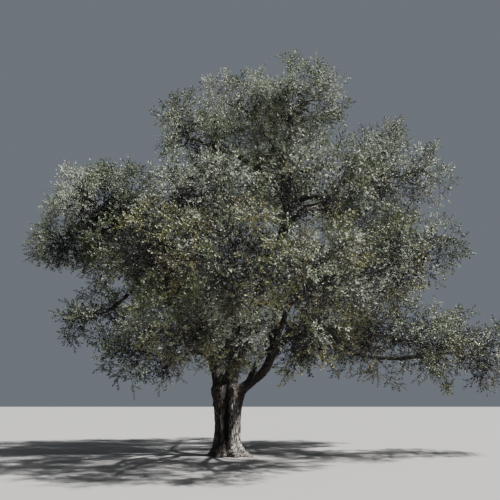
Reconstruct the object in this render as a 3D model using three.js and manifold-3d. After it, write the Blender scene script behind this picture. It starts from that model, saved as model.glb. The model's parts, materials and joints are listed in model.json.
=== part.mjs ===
// A leadwood tree, Combretum imberbe, standing alone on level ground. A short fluted trunk forks low into crooked
// stems, and the stems carry an uneven crown of grey-green foliage: a tall dome, a lower shoulder on its left, and a
// long low bough on its right.
//
// Millimetres. The origin is the middle of the flat cut under the trunk, at ground level. +X is the viewer's right,
// +Y runs away from the viewer and +Z is up. A bearing is in degrees from +X, anticlockwise seen from above.

import * as THREE from 'three';
import { mergeVertices } from 'three/addons/utils/BufferGeometryUtils.js';
import Module from 'manifold-3d';

const wasm = await Module();
wasm.setup();

// The trunk, from its cut at the ground to its fork. Each station is a height, a half width and a half depth.
const TRUNK = {
  stations: [
    { up: 0, across: 450, deep: 440 },
    { up: 130, across: 440, deep: 425 },
    { up: 300, across: 430, deep: 405 },
    { up: 550, across: 422, deep: 390 },
    { up: 900, across: 415, deep: 380 },
    { up: 1250, across: 425, deep: 380 },
    { up: 1600, across: 475, deep: 410 },
    { up: 1880, across: 550, deep: 460 },
    { up: 2080, across: 580, deep: 480 },
    { up: 2190, across: 430, deep: 330 },
  ],
  lean: 25, // how far the fork stands to the right of the foot
  sides: 40,
};
const ROOTS = [
  { bearing: 338, reach: 500, width: 17 },
  { bearing: 297, reach: 340, width: 12 },
  { bearing: 245, reach: 300, width: 14 },
  { bearing: 194, reach: 260, width: 20 },
  { bearing: 132, reach: 330, width: 14 },
  { bearing: 82, reach: 270, width: 13 },
  { bearing: 34, reach: 350, width: 15 },
];
const ROOT_FADE = 180; // the height over which a root's swelling falls to about a third
// Where the old stems have grown together: each seam starts at a height and deepens up to the fork.
const SEAMS = [
  { bearing: 264, start: 0, depth: 300 },
  { bearing: 97, start: 300, depth: 220 },
  { bearing: 318, start: 1100, depth: 130 },
];
const SEAM_WIDTH = 15;
const SEAM_RISE = 0.7; // the power by which a seam deepens, so that most of it is soon reached
const DEEPEST_SEAM = 0.55; // the most that a seam sinks, as a share of the way to the trunk's middle

// Every limb and the foliage at its end. The foliage's middle is at a bearing, a distance out from the foot and a
// height, and reach is its half width. A limb leaves its parent at a share of the parent's length. girth is the
// limb's radius at its root. through gives the elbows of the few limbs that show plainly, as [right, back, up], and
// the elbows of the others are worked out.
const LIMBS = [
  {
    name: 'crest', parent: 'trunk', girth: 245, bearing: 353, out: 2600, up: 12600, reach: 2200,
    through: [[120, 0, 1550], [160, -20, 2650], [880, -180, 4700], [1740, -260, 6900], [2060, -220, 8350],
      [1960, -60, 10100]],
  },
  {
    name: 'left_shoulder', parent: 'trunk', girth: 212, bearing: 174, out: 4750, up: 8700, reach: 2200,
    through: [[-190, 0, 1550], [-420, 0, 2700], [-880, -60, 4300], [-2150, 60, 6100]],
  },
  {
    name: 'right_tip', parent: 'trunk', girth: 172, bearing: 358, out: 6450, up: 6750, reach: 1950,
    through: [[230, -60, 1550], [470, -90, 2020], [840, -110, 2300], [1200, -120, 2620], [1420, -140, 3140],
      [1680, -220, 4650], [2800, -380, 5900], [3950, -340, 6900], [4850, -280, 7500]],
  },
  {
    name: 'back', parent: 'trunk', girth: 200, bearing: 70, out: 5850, up: 7700, reach: 2600,
    through: [[20, 130, 1550], [60, 520, 2700], [350, 1650, 4300]],
  },
  {
    name: 'right_upper', parent: 'crest', at: 0.63, girth: 135, bearing: 3, out: 6400, up: 9600, reach: 2100,
    through: [[2700, -240, 8700], [3620, -240, 8780], [4080, -180, 9350], [4750, -60, 10050]],
  },
  { name: 'top_right', parent: 'right_upper', at: 0.42, girth: 80, bearing: 11, out: 5950, up: 11400, reach: 1600 },
  { name: 'peak', parent: 'crest', at: 0.8, girth: 115, bearing: 28, out: 650, up: 12950, reach: 2000 },
  { name: 'top_left', parent: 'crest', at: 0.68, girth: 105, bearing: 195, out: 1350, up: 11400, reach: 1900 },
  { name: 'front_crown_right', parent: 'crest', at: 0.5, girth: 110, bearing: 314, out: 3900, up: 8000, reach: 2150 },
  { name: 'front_crown_left', parent: 'crest', at: 0.4, girth: 110, bearing: 256, out: 2950, up: 7750, reach: 1950 },
  { name: 'back_crown_right', parent: 'crest', at: 0.56, girth: 120, bearing: 34, out: 6700, up: 9800, reach: 2300 },
  { name: 'back_top', parent: 'crest', at: 0.66, girth: 115, bearing: 64, out: 4400, up: 11350, reach: 2400 },
  { name: 'far_left', parent: 'left_shoulder', at: 0.66, girth: 110, bearing: 177, out: 5800, up: 7200, reach: 1600 },
  {
    name: 'left_low', parent: 'left_shoulder', at: 0.4, girth: 115, bearing: 179, out: 4400, up: 4400, reach: 1650,
    through: [[-2100, -60, 4950], [-3100, -20, 5500]],
  },
  { name: 'left_hang', parent: 'left_shoulder', at: 0.3, girth: 95, bearing: 200, out: 2600, up: 3250, reach: 1700 },
  {
    name: 'left_front', parent: 'left_shoulder', at: 0.46, girth: 110, bearing: 240, out: 3950, up: 5750, reach: 1950,
  },
  {
    name: 'left_back', parent: 'left_shoulder', at: 0.52, girth: 120, bearing: 140, out: 5650, up: 7300, reach: 2300,
  },
  {
    name: 'front_left_low', parent: 'left_shoulder', at: 0.24, girth: 100, bearing: 255, out: 4300, up: 3650,
    reach: 1700,
  },
  {
    name: 'low_right', parent: 'right_tip', at: 0.39, girth: 120, bearing: 354, out: 5600, up: 3600, reach: 2100,
    through: [[2300, -50, 4120], [3400, -100, 4050]],
  },
  {
    name: 'low_far_right', parent: 'low_right', at: 0.6, girth: 90, bearing: 4, out: 8200, up: 3300, reach: 1900,
    through: [[4350, 950, 3300], [5900, 1550, 3150]],
  },
  {
    name: 'low_front_right', parent: 'right_tip', at: 0.16, girth: 85, bearing: 306, out: 3750, up: 3500, reach: 1750,
    through: [[930, -200, 2820], [1200, -450, 3150]],
  },
  { name: 'low_back_right', parent: 'low_right', at: 0.45, girth: 90, bearing: 42, out: 5800, up: 4300, reach: 2100 },
  { name: 'front_right', parent: 'right_tip', at: 0.44, girth: 100, bearing: 295, out: 5550, up: 4550, reach: 1800 },
  { name: 'right_mid', parent: 'right_tip', at: 0.56, girth: 95, bearing: 327, out: 5350, up: 5550, reach: 1750 },
  { name: 'back_right', parent: 'right_tip', at: 0.61, girth: 105, bearing: 34, out: 7350, up: 6700, reach: 2300 },
  { name: 'front_mid', parent: 'crest', at: 0.2, girth: 110, bearing: 273, out: 5150, up: 5100, reach: 1900 },
  { name: 'front_low', parent: 'crest', at: 0.12, girth: 75, bearing: 271, out: 2300, up: 3550, reach: 1500 },
  { name: 'back_left', parent: 'back', at: 0.42, girth: 120, bearing: 110, out: 5350, up: 6700, reach: 2350 },
  { name: 'back_crown_left', parent: 'back', at: 0.55, girth: 120, bearing: 112, out: 3800, up: 10100, reach: 2400 },
];

// How limbs and foliage grow
const CROWN_MIDDLE = [900, 0, 7200];
const SQUASH = 0.8; // a mass of foliage is this much as high as it is wide
const ENTRY = 0.62; // a limb ends this share of the reach short of its foliage's middle
const LIMB_TIP = 72; // radius where a limb ends
const COLLAR = 0.35; // how much thicker a limb is at its root
const COLLAR_FADE = 4; // how many times its girth that thickening fades over
const CHILD_SHARE = 0.8; // a limb is at most this share of its parent's radius where it leaves it
const FIRST_ELBOW = 0.32; // shares of the way from root to tip
const SECOND_ELBOW = 0.7;
const FOLLOW = 0.55; // how strongly a limb first follows its parent
const ARCH = 0.1; // how far the second elbow rises, as a share of the way
const SWAY = 0.07; // how far it may swing aside
const STEP = 900; // the length of one facet along a limb
const SPRAYS_PER_METRE = 6; // sprays of leaves on a mass, for each metre of its reach
const SPRAY_SHARES = [1, 0.86, 1, 0.68]; // how near their tips come to the reach, in turn
const TWIG_SHARE = 0.38; // a twig goes this share of the way to the middle of what it carries
const SIDE_TWIG = 0.7; // the share of a twig's length at which the next one leaves its side
const TWIG_RADIUS = 20; // radius of a twig that carries one spray
const TWIG_GROWTH = 0.4; // the power of the number of sprays by which a twig thickens
const SPRAY = { longest: 2300, shortest: 450, slimness: 0.74, widest: 1350, shoulder: 0.56, thickness: 0.03 };
const STALK = 12; // radius at the root of a spray that leaves the side of a twig
const ROLL = 50; // a spray may roll this many degrees either way
const GAP = 0.3; // between a limb or stem and what carries it
const SPACE_GAP = 12; // between a mass and the edge of its space
const LIMB_GAP = 10; // between a limb and any twig or leaf that isn't its own stem
const GOLDEN_ANGLE = Math.PI * (3 - Math.sqrt(5));

const BARK = { color: 0x8a7f76, roughness: 0.95, metalness: 0 };
const LEAVES = { color: 0x6f7a5c, roughness: 0.7, metalness: 0 };

const radians = THREE.MathUtils.degToRad;
const vector = ([x, y, z]) => new THREE.Vector3(x, y, z);

/** A repeatable source of numbers from 0 to 1: the Park and Miller generator. */
function seeded(seed) {
  let state = seed * 7919 + 101;
  return () => {
    state = (state * 16807) % 2147483647;
    return state / 2147483647;
  };
}

/** The middle of a limb's foliage. */
function middle({ bearing, out, up }) {
  const angle = radians(bearing);
  return new THREE.Vector3(out * Math.cos(angle), out * Math.sin(angle), up);
}

/** The mean of some points. */
const meanOf = (points) => points.reduce((sum, point) => sum.add(point), new THREE.Vector3())
  .divideScalar(points.length);

/** A closed solid from rings of points. It ends flat, in a point where tip is given, or round hubs at both ends. */
function loft(rings, { tip, hubs = false } = {}) {
  const sides = rings[0].length;
  const points = rings.flat();
  const last = points.length - sides;
  const faces = [];
  const close = (first, apex, upwards) => {
    for (let s = 0; s < sides; s++) {
      const a = first + s;
      const b = first + ((s + 1) % sides);
      if (a !== apex && b !== apex) {
        faces.push(...(upwards ? [a, b, apex] : [b, a, apex]));
      }
    }
  };
  for (let a = 0; a < last; a++) {
    const b = (a + 1) % sides === 0 ? a + 1 - sides : a + 1;
    faces.push(a, b, b + sides, a, b + sides, a + sides);
  }
  const indexOf = (point) => points.push(point) - 1;
  close(0, hubs ? indexOf(meanOf(rings[0])) : 0, false);
  const end = tip ?? (hubs ? meanOf(rings.at(-1)) : null);
  close(last, end ? indexOf(end) : last, true);
  return solidOf(new THREE.BufferGeometry().setFromPoints(points).setIndex(faces));
}

/** A closed three.js geometry as a solid that can be joined and cut. */
function solidOf(geometry) {
  const merged = mergeVertices(geometry, 1e-3);
  return new wasm.Manifold(new wasm.Mesh({
    numProp: 3,
    vertProperties: new Float32Array(merged.attributes.position.array),
    triVerts: new Uint32Array(merged.index.array),
  }));
}

/** A solid as a three.js geometry. */
function geometryOf(solid) {
  const mesh = solid.getMesh();
  return new THREE.BufferGeometry()
    .setAttribute('position', new THREE.BufferAttribute(mesh.vertProperties, 3))
    .setIndex(new THREE.BufferAttribute(mesh.triVerts, 1));
}

/** The largest piece of a solid, without the scraps that a cut leaves. */
function largest(solid) {
  return solid.decompose().reduce((a, b) => (a.volume() >= b.volume() ? a : b));
}

/** The difference between two bearings, from -180 to 180 degrees. */
const turn = (a, b) => ((a - b + 540) % 360) - 180;

/** A bell that is 1 at a bearing and falls to about a third at its width. */
const bell = (bearing, { bearing: centre }, width) => Math.exp(-((turn(bearing, centre) / width) ** 2));

/** The trunk's point at a station and bearing, grown outwards by grow. */
function trunkPoint(station, bearing, grow) {
  const { up, across, deep } = station;
  const angle = radians(bearing);
  const core = 1 / Math.hypot(Math.cos(angle) / across, Math.sin(angle) / deep);
  const swelling = ROOTS.reduce((sum, root) => sum + root.reach * bell(bearing, root, root.width), 0);
  const fork = TRUNK.stations.at(-2).up;
  const sunk = SEAMS.reduce((sum, seam) => {
    const rise = THREE.MathUtils.clamp((up - seam.start) / (fork - seam.start), 0, 1) ** SEAM_RISE;
    return sum + rise * seam.depth * bell(bearing, seam, SEAM_WIDTH);
  }, 0);
  const radius = core + swelling * Math.exp(-up / ROOT_FADE) - Math.min(sunk, DEEPEST_SEAM * core) + grow;
  const lean = TRUNK.lean * (up / TRUNK.stations.at(-1).up);
  return new THREE.Vector3(lean + radius * Math.cos(angle), radius * Math.sin(angle), up);
}

/** The trunk, or the space round it when it is grown. */
function trunkSolid(grow = 0) {
  const top = TRUNK.stations.at(-1).up;
  const rings = TRUNK.stations.map((station) => {
    const ring = Array.from({ length: TRUNK.sides }, (_, i) => trunkPoint(station, (i * 360) / TRUNK.sides, grow));
    return station.up === top ? ring.map((point) => point.setZ(top + grow)) : ring;
  });
  return loft(rings, { hubs: true });
}

/** The centre line of a limb, from inside its parent to where it enters its foliage. */
function limbCurve(limb, parent, random) {
  const centre = middle(limb);
  const root = parent ? parent.curve.getPoint(limb.at) : null;
  const elbows = (limb.through ?? []).map(vector);
  const before = elbows.at(-1) ?? root;
  const approach = centre.clone().sub(before).normalize();
  const tip = centre.clone().addScaledVector(approach, -limb.reach * ENTRY);
  if (elbows.length === 0) {
    const way = tip.clone().sub(root);
    const length = way.length();
    const ahead = way.clone().normalize().addScaledVector(parent.curve.getTangent(limb.at), FOLLOW).normalize();
    const aside = new THREE.Vector3(-way.y, way.x, 0).normalize().multiplyScalar(SWAY * length * (2 * random() - 1));
    elbows.push(root.clone().addScaledVector(ahead, FIRST_ELBOW * length));
    elbows.push(root.clone().addScaledVector(way, SECOND_ELBOW).add(aside).setZ(
      root.z + SECOND_ELBOW * way.z + ARCH * length,
    ));
  }
  const points = root ? [root, ...elbows, tip] : [...elbows, tip];
  return new THREE.CatmullRomCurve3(points, false, 'catmullrom', 0.5);
}

/** The radius of a limb at a share of its length, thickest where it leaves its parent. */
function limbRadius({ girth }, length, share) {
  const collar = COLLAR * girth * Math.exp((-share * length) / (COLLAR_FADE * girth));
  return LIMB_TIP + (girth - LIMB_TIP) * (1 - share) ** 0.9 + collar;
}

/** Rings of points square to a curve, at equal steps of its parameter, with a radius for each step. */
function ringsAlong(curve, steps, sides, radiusAt) {
  const { normals, binormals } = frames(curve, steps);
  return Array.from({ length: steps + 1 }, (_, i) => {
    const centre = curve.getPoint(i / steps);
    const radius = radiusAt(i / steps);
    return Array.from({ length: sides }, (__, s) => {
      const angle = (2 * Math.PI * s) / sides;
      return centre.clone()
        .addScaledVector(normals[i], radius * Math.cos(angle))
        .addScaledVector(binormals[i], radius * Math.sin(angle));
    });
  });
}

/** Axes square to a curve that turn as little as they can along it. */
function frames(curve, steps) {
  const normals = [];
  const binormals = [];
  let side = new THREE.Vector3(0, -1, 0);
  for (let i = 0; i <= steps; i++) {
    const tangent = curve.getTangent(i / steps);
    side = side.clone().addScaledVector(tangent, -side.dot(tangent)).normalize();
    normals.push(side);
    binormals.push(tangent.clone().cross(side));
  }
  return { normals, binormals };
}

/** A limb's solid, or the space round it when it is grown. */
function limbSolid({ limb, curve, radiusAt }, grow = 0) {
  const steps = THREE.MathUtils.clamp(Math.round(curve.getLength() / STEP), 4, 16);
  const sides = limb.girth > 125 ? 8 : 6;
  return loft(ringsAlong(curve, steps, sides, (share) => radiusAt(share) + grow));
}

/** Grows every limb, each cut clear of the trunk and of the limbs before it. */
function growLimbs() {
  const grown = new Map();
  const trunkSpace = trunkSolid(2 * GAP);
  LIMBS.forEach((limb, index) => {
    const parent = grown.get(limb.parent);
    const curve = limbCurve(limb, parent, seeded(index + 1));
    const length = curve.getLength();
    const thickest = parent ? CHILD_SHARE * parent.radiusAt(limb.at) : Infinity;
    const radiusAt = (share) => Math.min(thickest, limbRadius(limb, length, share));
    let solid = limbSolid({ limb, curve, radiusAt }).subtract(trunkSpace);
    for (const other of grown.values()) {
      solid = solid.subtract(limbSolid(other, GAP + 0.1));
    }
    grown.set(limb.name, { limb, curve, radiusAt, solid: largest(solid).simplify(0.1) });
  });
  return grown;
}

/** A foliage mass's own space: flat walls midway to each neighbour, in a frame where the mass is a ball. */
function spaceOf(limb) {
  const lift = (point) => point.clone().setZ(point.z / SQUASH);
  const centre = lift(middle(limb));
  const walls = LIMBS.filter((other) => other !== limb).map((other) => {
    const way = lift(middle(other)).sub(centre);
    const apart = way.length();
    const distance = (apart ** 2 + limb.reach ** 2 - other.reach ** 2) / (2 * apart);
    return { normal: way.divideScalar(apart), distance: distance - SPACE_GAP };
  });
  const holds = (point) => {
    const offset = lift(point).sub(centre);
    return offset.length() <= limb.reach * 1.02 && walls.every((wall) => offset.dot(wall.normal) <= wall.distance);
  };
  const reachAlong = (direction) => walls.reduce((reach, wall) => {
    const towards = direction.dot(wall.normal);
    return towards > 0 ? Math.min(reach, wall.distance / towards) : reach;
  }, limb.reach);
  return { holds, reachAlong };
}

/** Where the tips of a mass's sprays lie: evenly about it from its outermost point, some deeper, all in its space. */
function sprayTips(limb, space, random) {
  const tips = [];
  const count = Math.round((SPRAYS_PER_METRE * limb.reach) / 1000);
  const outwards = directionFrom(vector(CROWN_MIDDLE), middle(limb));
  const across = squareTo(outwards);
  const over = outwards.clone().cross(across);
  const spin = random() * 2 * Math.PI;
  for (let i = 0; i < count; i++) {
    const height = 1 - (2 * i) / (count - 0.5);
    const angle = spin + i * GOLDEN_ANGLE;
    const flat = Math.sqrt(1 - height ** 2);
    const direction = outwards.clone().multiplyScalar(height)
      .addScaledVector(across, flat * Math.cos(angle))
      .addScaledVector(over, flat * Math.sin(angle));
    const distance = space.reachAlong(direction) * SPRAY_SHARES[i % SPRAY_SHARES.length] * 0.97;
    direction.multiplyScalar(distance).setZ(direction.z * SQUASH);
    tips.push(direction.add(middle(limb)));
  }
  return tips;
}

/** Splits points in two halves across the axis on which they spread the furthest. */
function halves(points) {
  const size = new THREE.Box3().setFromPoints(points).getSize(new THREE.Vector3());
  const axis = ['x', 'y', 'z'].reduce((a, b) => (size[b] > size[a] ? b : a));
  const sorted = [...points].sort((a, b) => a[axis] - b[axis]);
  const half = Math.ceil(sorted.length / 2);
  return [sorted.slice(0, half), sorted.slice(half)];
}

/** A three-sided ring: two corners at the sides, below the middle, and one on the ridge. */
function ringOfThree(point, side, face, halfWidth, ridge, keel) {
  return [[side, halfWidth, -keel], [face, 0, ridge], [side, -halfWidth, -keel]].map(([, across, over]) => (
    point.clone().addScaledVector(side, across).addScaledVector(face, over)
  ));
}

/** A three-sided twig through points with a radius at each, which ends in a spray or, without one, in a point. */
function twigSolid(path, spray) {
  const steps = path.map(({ point }) => point);
  const tip = spray ? spray.tip : steps.at(-1);
  const rings = [];
  let ahead = directionFrom(steps.at(-1), spray ? tip : steps.at(-2), !spray);
  let side = spray ? spray.side : squareTo(ahead);
  const shaft = spray ? path : path.slice(0, -1);
  for (let i = shaft.length - 1; i >= 0; i--) {
    const before = i > 0 ? directionFrom(steps[i - 1], steps[i]) : ahead;
    const along = before.clone().add(ahead).normalize();
    side = side.clone().addScaledVector(along, -side.dot(along)).normalize();
    const { point, radius } = shaft[i];
    rings.unshift(ringOfThree(point, side, along.clone().cross(side), radius * 0.87, radius, radius / 2));
    ahead = before;
  }
  if (spray) {
    rings.push(spray.shoulder);
  }
  return loft(rings, { tip });
}

/** The direction from one point to another, or the other way round. */
function directionFrom(from, to, reversed = false) {
  const way = to.clone().sub(from).normalize();
  return reversed ? way.negate() : way;
}

/** Any direction square to another. */
function squareTo(direction) {
  return direction.clone().cross(new THREE.Vector3(0, 0, 1)).add(new THREE.Vector3(1e-3, 0, 0)).normalize();
}

/** A spray of leaves as a blade with a ridge, from a root to its widest part and on to its tip. */
function sprayFrom(root, tip, centre, roll) {
  const along = directionFrom(root, tip);
  const length = root.distanceTo(tip);
  const outwards = tip.clone().sub(centre);
  const face = outwards.addScaledVector(along, -outwards.dot(along)).normalize().applyAxisAngle(along, roll);
  const side = face.clone().cross(along);
  const halfWidth = Math.min(SPRAY.widest, SPRAY.slimness * length) / 2;
  const half = (SPRAY.thickness * length) / 2;
  const middlePoint = root.clone().lerp(tip, SPRAY.shoulder);
  return { tip, side, shoulder: ringOfThree(middlePoint, side, face, halfWidth, half, half) };
}

/** The corners of a solid as points. */
function cornersOf(solid) {
  const { vertProperties, numVert } = solid.getMesh();
  return Array.from({ length: numVert }, (_, i) => vector(vertProperties.subarray(3 * i, 3 * i + 3)));
}

/** The foliage at a limb's tip: a stem that forks by halves, with a spray at the end of every twig. */
function growFoliage({ limb, curve }, index, obstacles) {
  const random = seeded(100 + index);
  const space = spaceOf(limb);
  const centre = middle(limb);
  const pieces = [];
  const fits = (solid) => cornersOf(solid).every(space.holds) &&
    obstacles.every((obstacle) => solid.intersect(obstacle).isEmpty());
  const radiusFor = (count) => TWIG_RADIUS * count ** TWIG_GROWTH;
  const step = (point, count) => ({ point, radius: radiusFor(count) });

  // the last twig, to one tip
  const finish = (path, tip) => {
    const root = path.at(-1).point;
    const length = root.distanceTo(tip);
    const reached = length > SPRAY.longest ? root.clone().lerp(tip, SPRAY.longest / length) : tip;
    const spray = sprayFrom(root, reached, centre, radians(ROLL * (2 * random() - 1)));
    if (length > SPRAY.shortest && fits(twigSolid([{ point: root, radius: STALK }], spray))) {
      pieces.push(twigSolid(path, spray));
    } else if (path.length > 1) {
      pieces.push(twigSolid(path));
    }
  };

  // a twig that goes on to the tips ahead of it, with a side twig to the others
  const fork = (path, tips) => {
    if (tips.length === 1) {
      finish(path, tips[0]);
      return;
    }
    const [before, end] = path.slice(-2).map(({ point }) => point);
    const ahead = directionFrom(before, end);
    const [main, side] = halves(tips).sort((a, b) => (
      directionFrom(end, meanOf(b)).dot(ahead) - directionFrom(end, meanOf(a)).dot(ahead)
    ));
    extend([...path], end, main);
    const root = before.clone().lerp(end, SIDE_TWIG);
    extend([{ point: root, radius: Math.min(radiusFor(side.length), path.at(-1).radius * 0.6) }], root, side);
  };
  const extend = (path, from, tips) => {
    if (tips.length === 1) {
      finish(path, tips[0]);
      return;
    }
    const next = step(from.clone().lerp(meanOf(tips), TWIG_SHARE), tips.length);
    const trial = [{ point: from, radius: next.radius }, next, step(next.point.clone().lerp(meanOf(tips), 0.05), 1)];
    if (fits(twigSolid(trial))) {
      fork([...path, next], tips);
    } else if (path.length > 1) {
      pieces.push(twigSolid(path));
    }
  };

  const tips = sprayTips(limb, space, random);
  const end = curve.getPoint(1);
  const tangent = curve.getTangent(1);
  const foot = end.clone().addScaledVector(tangent, GAP);
  const crown = end.clone().addScaledVector(tangent, limb.reach * (ENTRY - 0.3));
  fork([{ point: foot, radius: LIMB_TIP * 0.8 }, step(crown, tips.length)], tips);
  return largest(wasm.Manifold.union(pieces)).simplify(2);
}

/** A named mesh in its own material. */
function meshOf(name, solid, finish) {
  const mesh = new THREE.Mesh(geometryOf(solid), new THREE.MeshStandardMaterial(finish));
  mesh.name = name;
  return mesh;
}

const tree = new THREE.Group();
tree.name = 'leadwood_tree';
tree.add(meshOf('trunk', trunkSolid(), BARK));
const limbs = growLimbs();
const obstacles = [trunkSolid(LIMB_GAP), ...[...limbs.values()].map((grown) => limbSolid(grown, LIMB_GAP))];
[...limbs.values()].forEach((grown, index) => {
  tree.add(meshOf(`bough_${grown.limb.name}`, grown.solid, BARK));
  const foliage = growFoliage(grown, index, obstacles);
  tree.add(meshOf(`foliage_${grown.limb.name}`, foliage, LEAVES));
});

export default tree;
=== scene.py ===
"""A leadwood tree, Combretum imberbe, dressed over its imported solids.

A short fluted trunk forks low into crooked stems, and the stems carry an uneven crown of silvery grey-green leaves.
Metres: the origin is the middle of the flat cut under the trunk, +X is the viewer's right, +Y runs away from the
viewer and +Z is up. A bearing is in degrees from +X, anticlockwise seen from above.
"""

import json
import logging
import math
from dataclasses import dataclass, field
from enum import Enum
from typing import Callable, Sequence

import bmesh
import bpy
import numpy as np
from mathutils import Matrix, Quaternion, Vector

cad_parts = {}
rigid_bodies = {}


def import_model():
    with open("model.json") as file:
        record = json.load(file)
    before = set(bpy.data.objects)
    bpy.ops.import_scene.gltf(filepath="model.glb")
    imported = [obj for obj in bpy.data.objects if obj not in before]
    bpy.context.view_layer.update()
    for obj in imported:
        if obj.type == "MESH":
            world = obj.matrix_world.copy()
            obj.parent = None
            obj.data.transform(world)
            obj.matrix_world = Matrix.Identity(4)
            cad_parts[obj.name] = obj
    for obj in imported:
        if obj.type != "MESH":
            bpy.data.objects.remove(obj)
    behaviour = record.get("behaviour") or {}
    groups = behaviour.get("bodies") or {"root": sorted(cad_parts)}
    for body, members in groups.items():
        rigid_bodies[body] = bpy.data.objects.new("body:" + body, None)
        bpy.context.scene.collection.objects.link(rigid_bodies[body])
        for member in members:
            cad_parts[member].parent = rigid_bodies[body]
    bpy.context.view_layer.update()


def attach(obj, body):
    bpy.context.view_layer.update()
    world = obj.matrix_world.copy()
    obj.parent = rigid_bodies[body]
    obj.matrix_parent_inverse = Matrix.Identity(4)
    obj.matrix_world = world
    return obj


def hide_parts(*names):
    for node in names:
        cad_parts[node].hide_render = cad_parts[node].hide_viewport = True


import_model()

LOG = logging.getLogger("leadwood_tree")
UP = Vector((0.0, 0.0, 1.0))
BODY = "root"
GOLDEN_ANGLE = math.pi * (3 - math.sqrt(5))
LEAF_TURN = math.radians(137.5)

# What is added to a limb's place in the table, or to a sprig's number, to seed each kind of growth
ROUTE_SEED = 1
TWIG_SEED = 100
DETAIL_SEED = 300
BARK_SEED = 500
LIMB_SPRAY_SEED = 600
SPRIG_SEED = 700

Random = Callable[[], float]
Socket = bpy.types.NodeSocket


class Region(Enum):
    """The parts of the crown, each made into one piece of leaves and one of twigs."""

    TOP = "top"
    LEFT = "left"
    RIGHT = "right"
    LOW_RIGHT = "low_right"
    FRONT = "front"
    BACK = "back"


class Tint(Enum):
    """The colours of leaf that the sprays are dealt."""

    SILVER = 0
    SAGE = 1
    GREEN = 2
    OLIVE = 3
    FADED = 4
    # painted shade: a near-black tint for leaves deep in the crown and on the undersides of masses
    INNER = 5


# The form of the tree, repeated from its source


@dataclass(frozen=True)
class Station:
    """One level of the trunk: its height, half width and half depth."""

    up: float
    across: float
    deep: float


@dataclass(frozen=True)
class Root:
    """A root's swelling at the trunk's foot: its bearing, how far it reaches out and its width in degrees."""

    bearing: float
    reach: float
    width: float


@dataclass(frozen=True)
class Seam:
    """A hollow where old stems have grown together: its bearing, the height where it starts and its depth."""

    bearing: float
    start: float
    depth: float


@dataclass(frozen=True)
class Limb:
    """A limb and the foliage at its end.

    The limb leaves its parent at a share of the parent's length, and girth is its radius there. The foliage's middle
    is at a bearing, a distance out from the foot and a height, and reach is its half width. through gives the elbows
    of a limb that shows plainly. fullness is how many leaves the foliage has, as a share of the usual number. Past the
    share leafy of its length the limb bears sprays of its own.
    """

    name: str
    parent: str
    region: Region
    share: float
    girth: float
    bearing: float
    out: float
    up: float
    reach: float
    through: tuple[tuple[float, float, float], ...] = ()
    fullness: float = 1.0
    leafy: float = 1.0

    def middle(self) -> Vector:
        """The middle of the foliage."""
        angle = math.radians(self.bearing)
        return Vector((self.out * math.cos(angle), self.out * math.sin(angle), self.up))


TRUNK_STATIONS = (
    Station(0.0, 0.45, 0.44),
    Station(0.13, 0.44, 0.425),
    Station(0.3, 0.43, 0.405),
    Station(0.55, 0.422, 0.39),
    Station(0.9, 0.415, 0.38),
    Station(1.25, 0.425, 0.38),
    Station(1.6, 0.475, 0.41),
    Station(1.88, 0.55, 0.46),
    Station(2.08, 0.58, 0.48),
    Station(2.19, 0.43, 0.33),
)
ROOTS = (
    Root(338, 0.5, 17),
    Root(297, 0.34, 12),
    Root(245, 0.3, 14),
    Root(194, 0.26, 20),
    Root(132, 0.33, 14),
    Root(82, 0.27, 13),
    Root(34, 0.35, 15),
)
SEAMS = (Seam(264, 0, 0.3), Seam(97, 0.3, 0.22), Seam(318, 1.1, 0.13))

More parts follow.
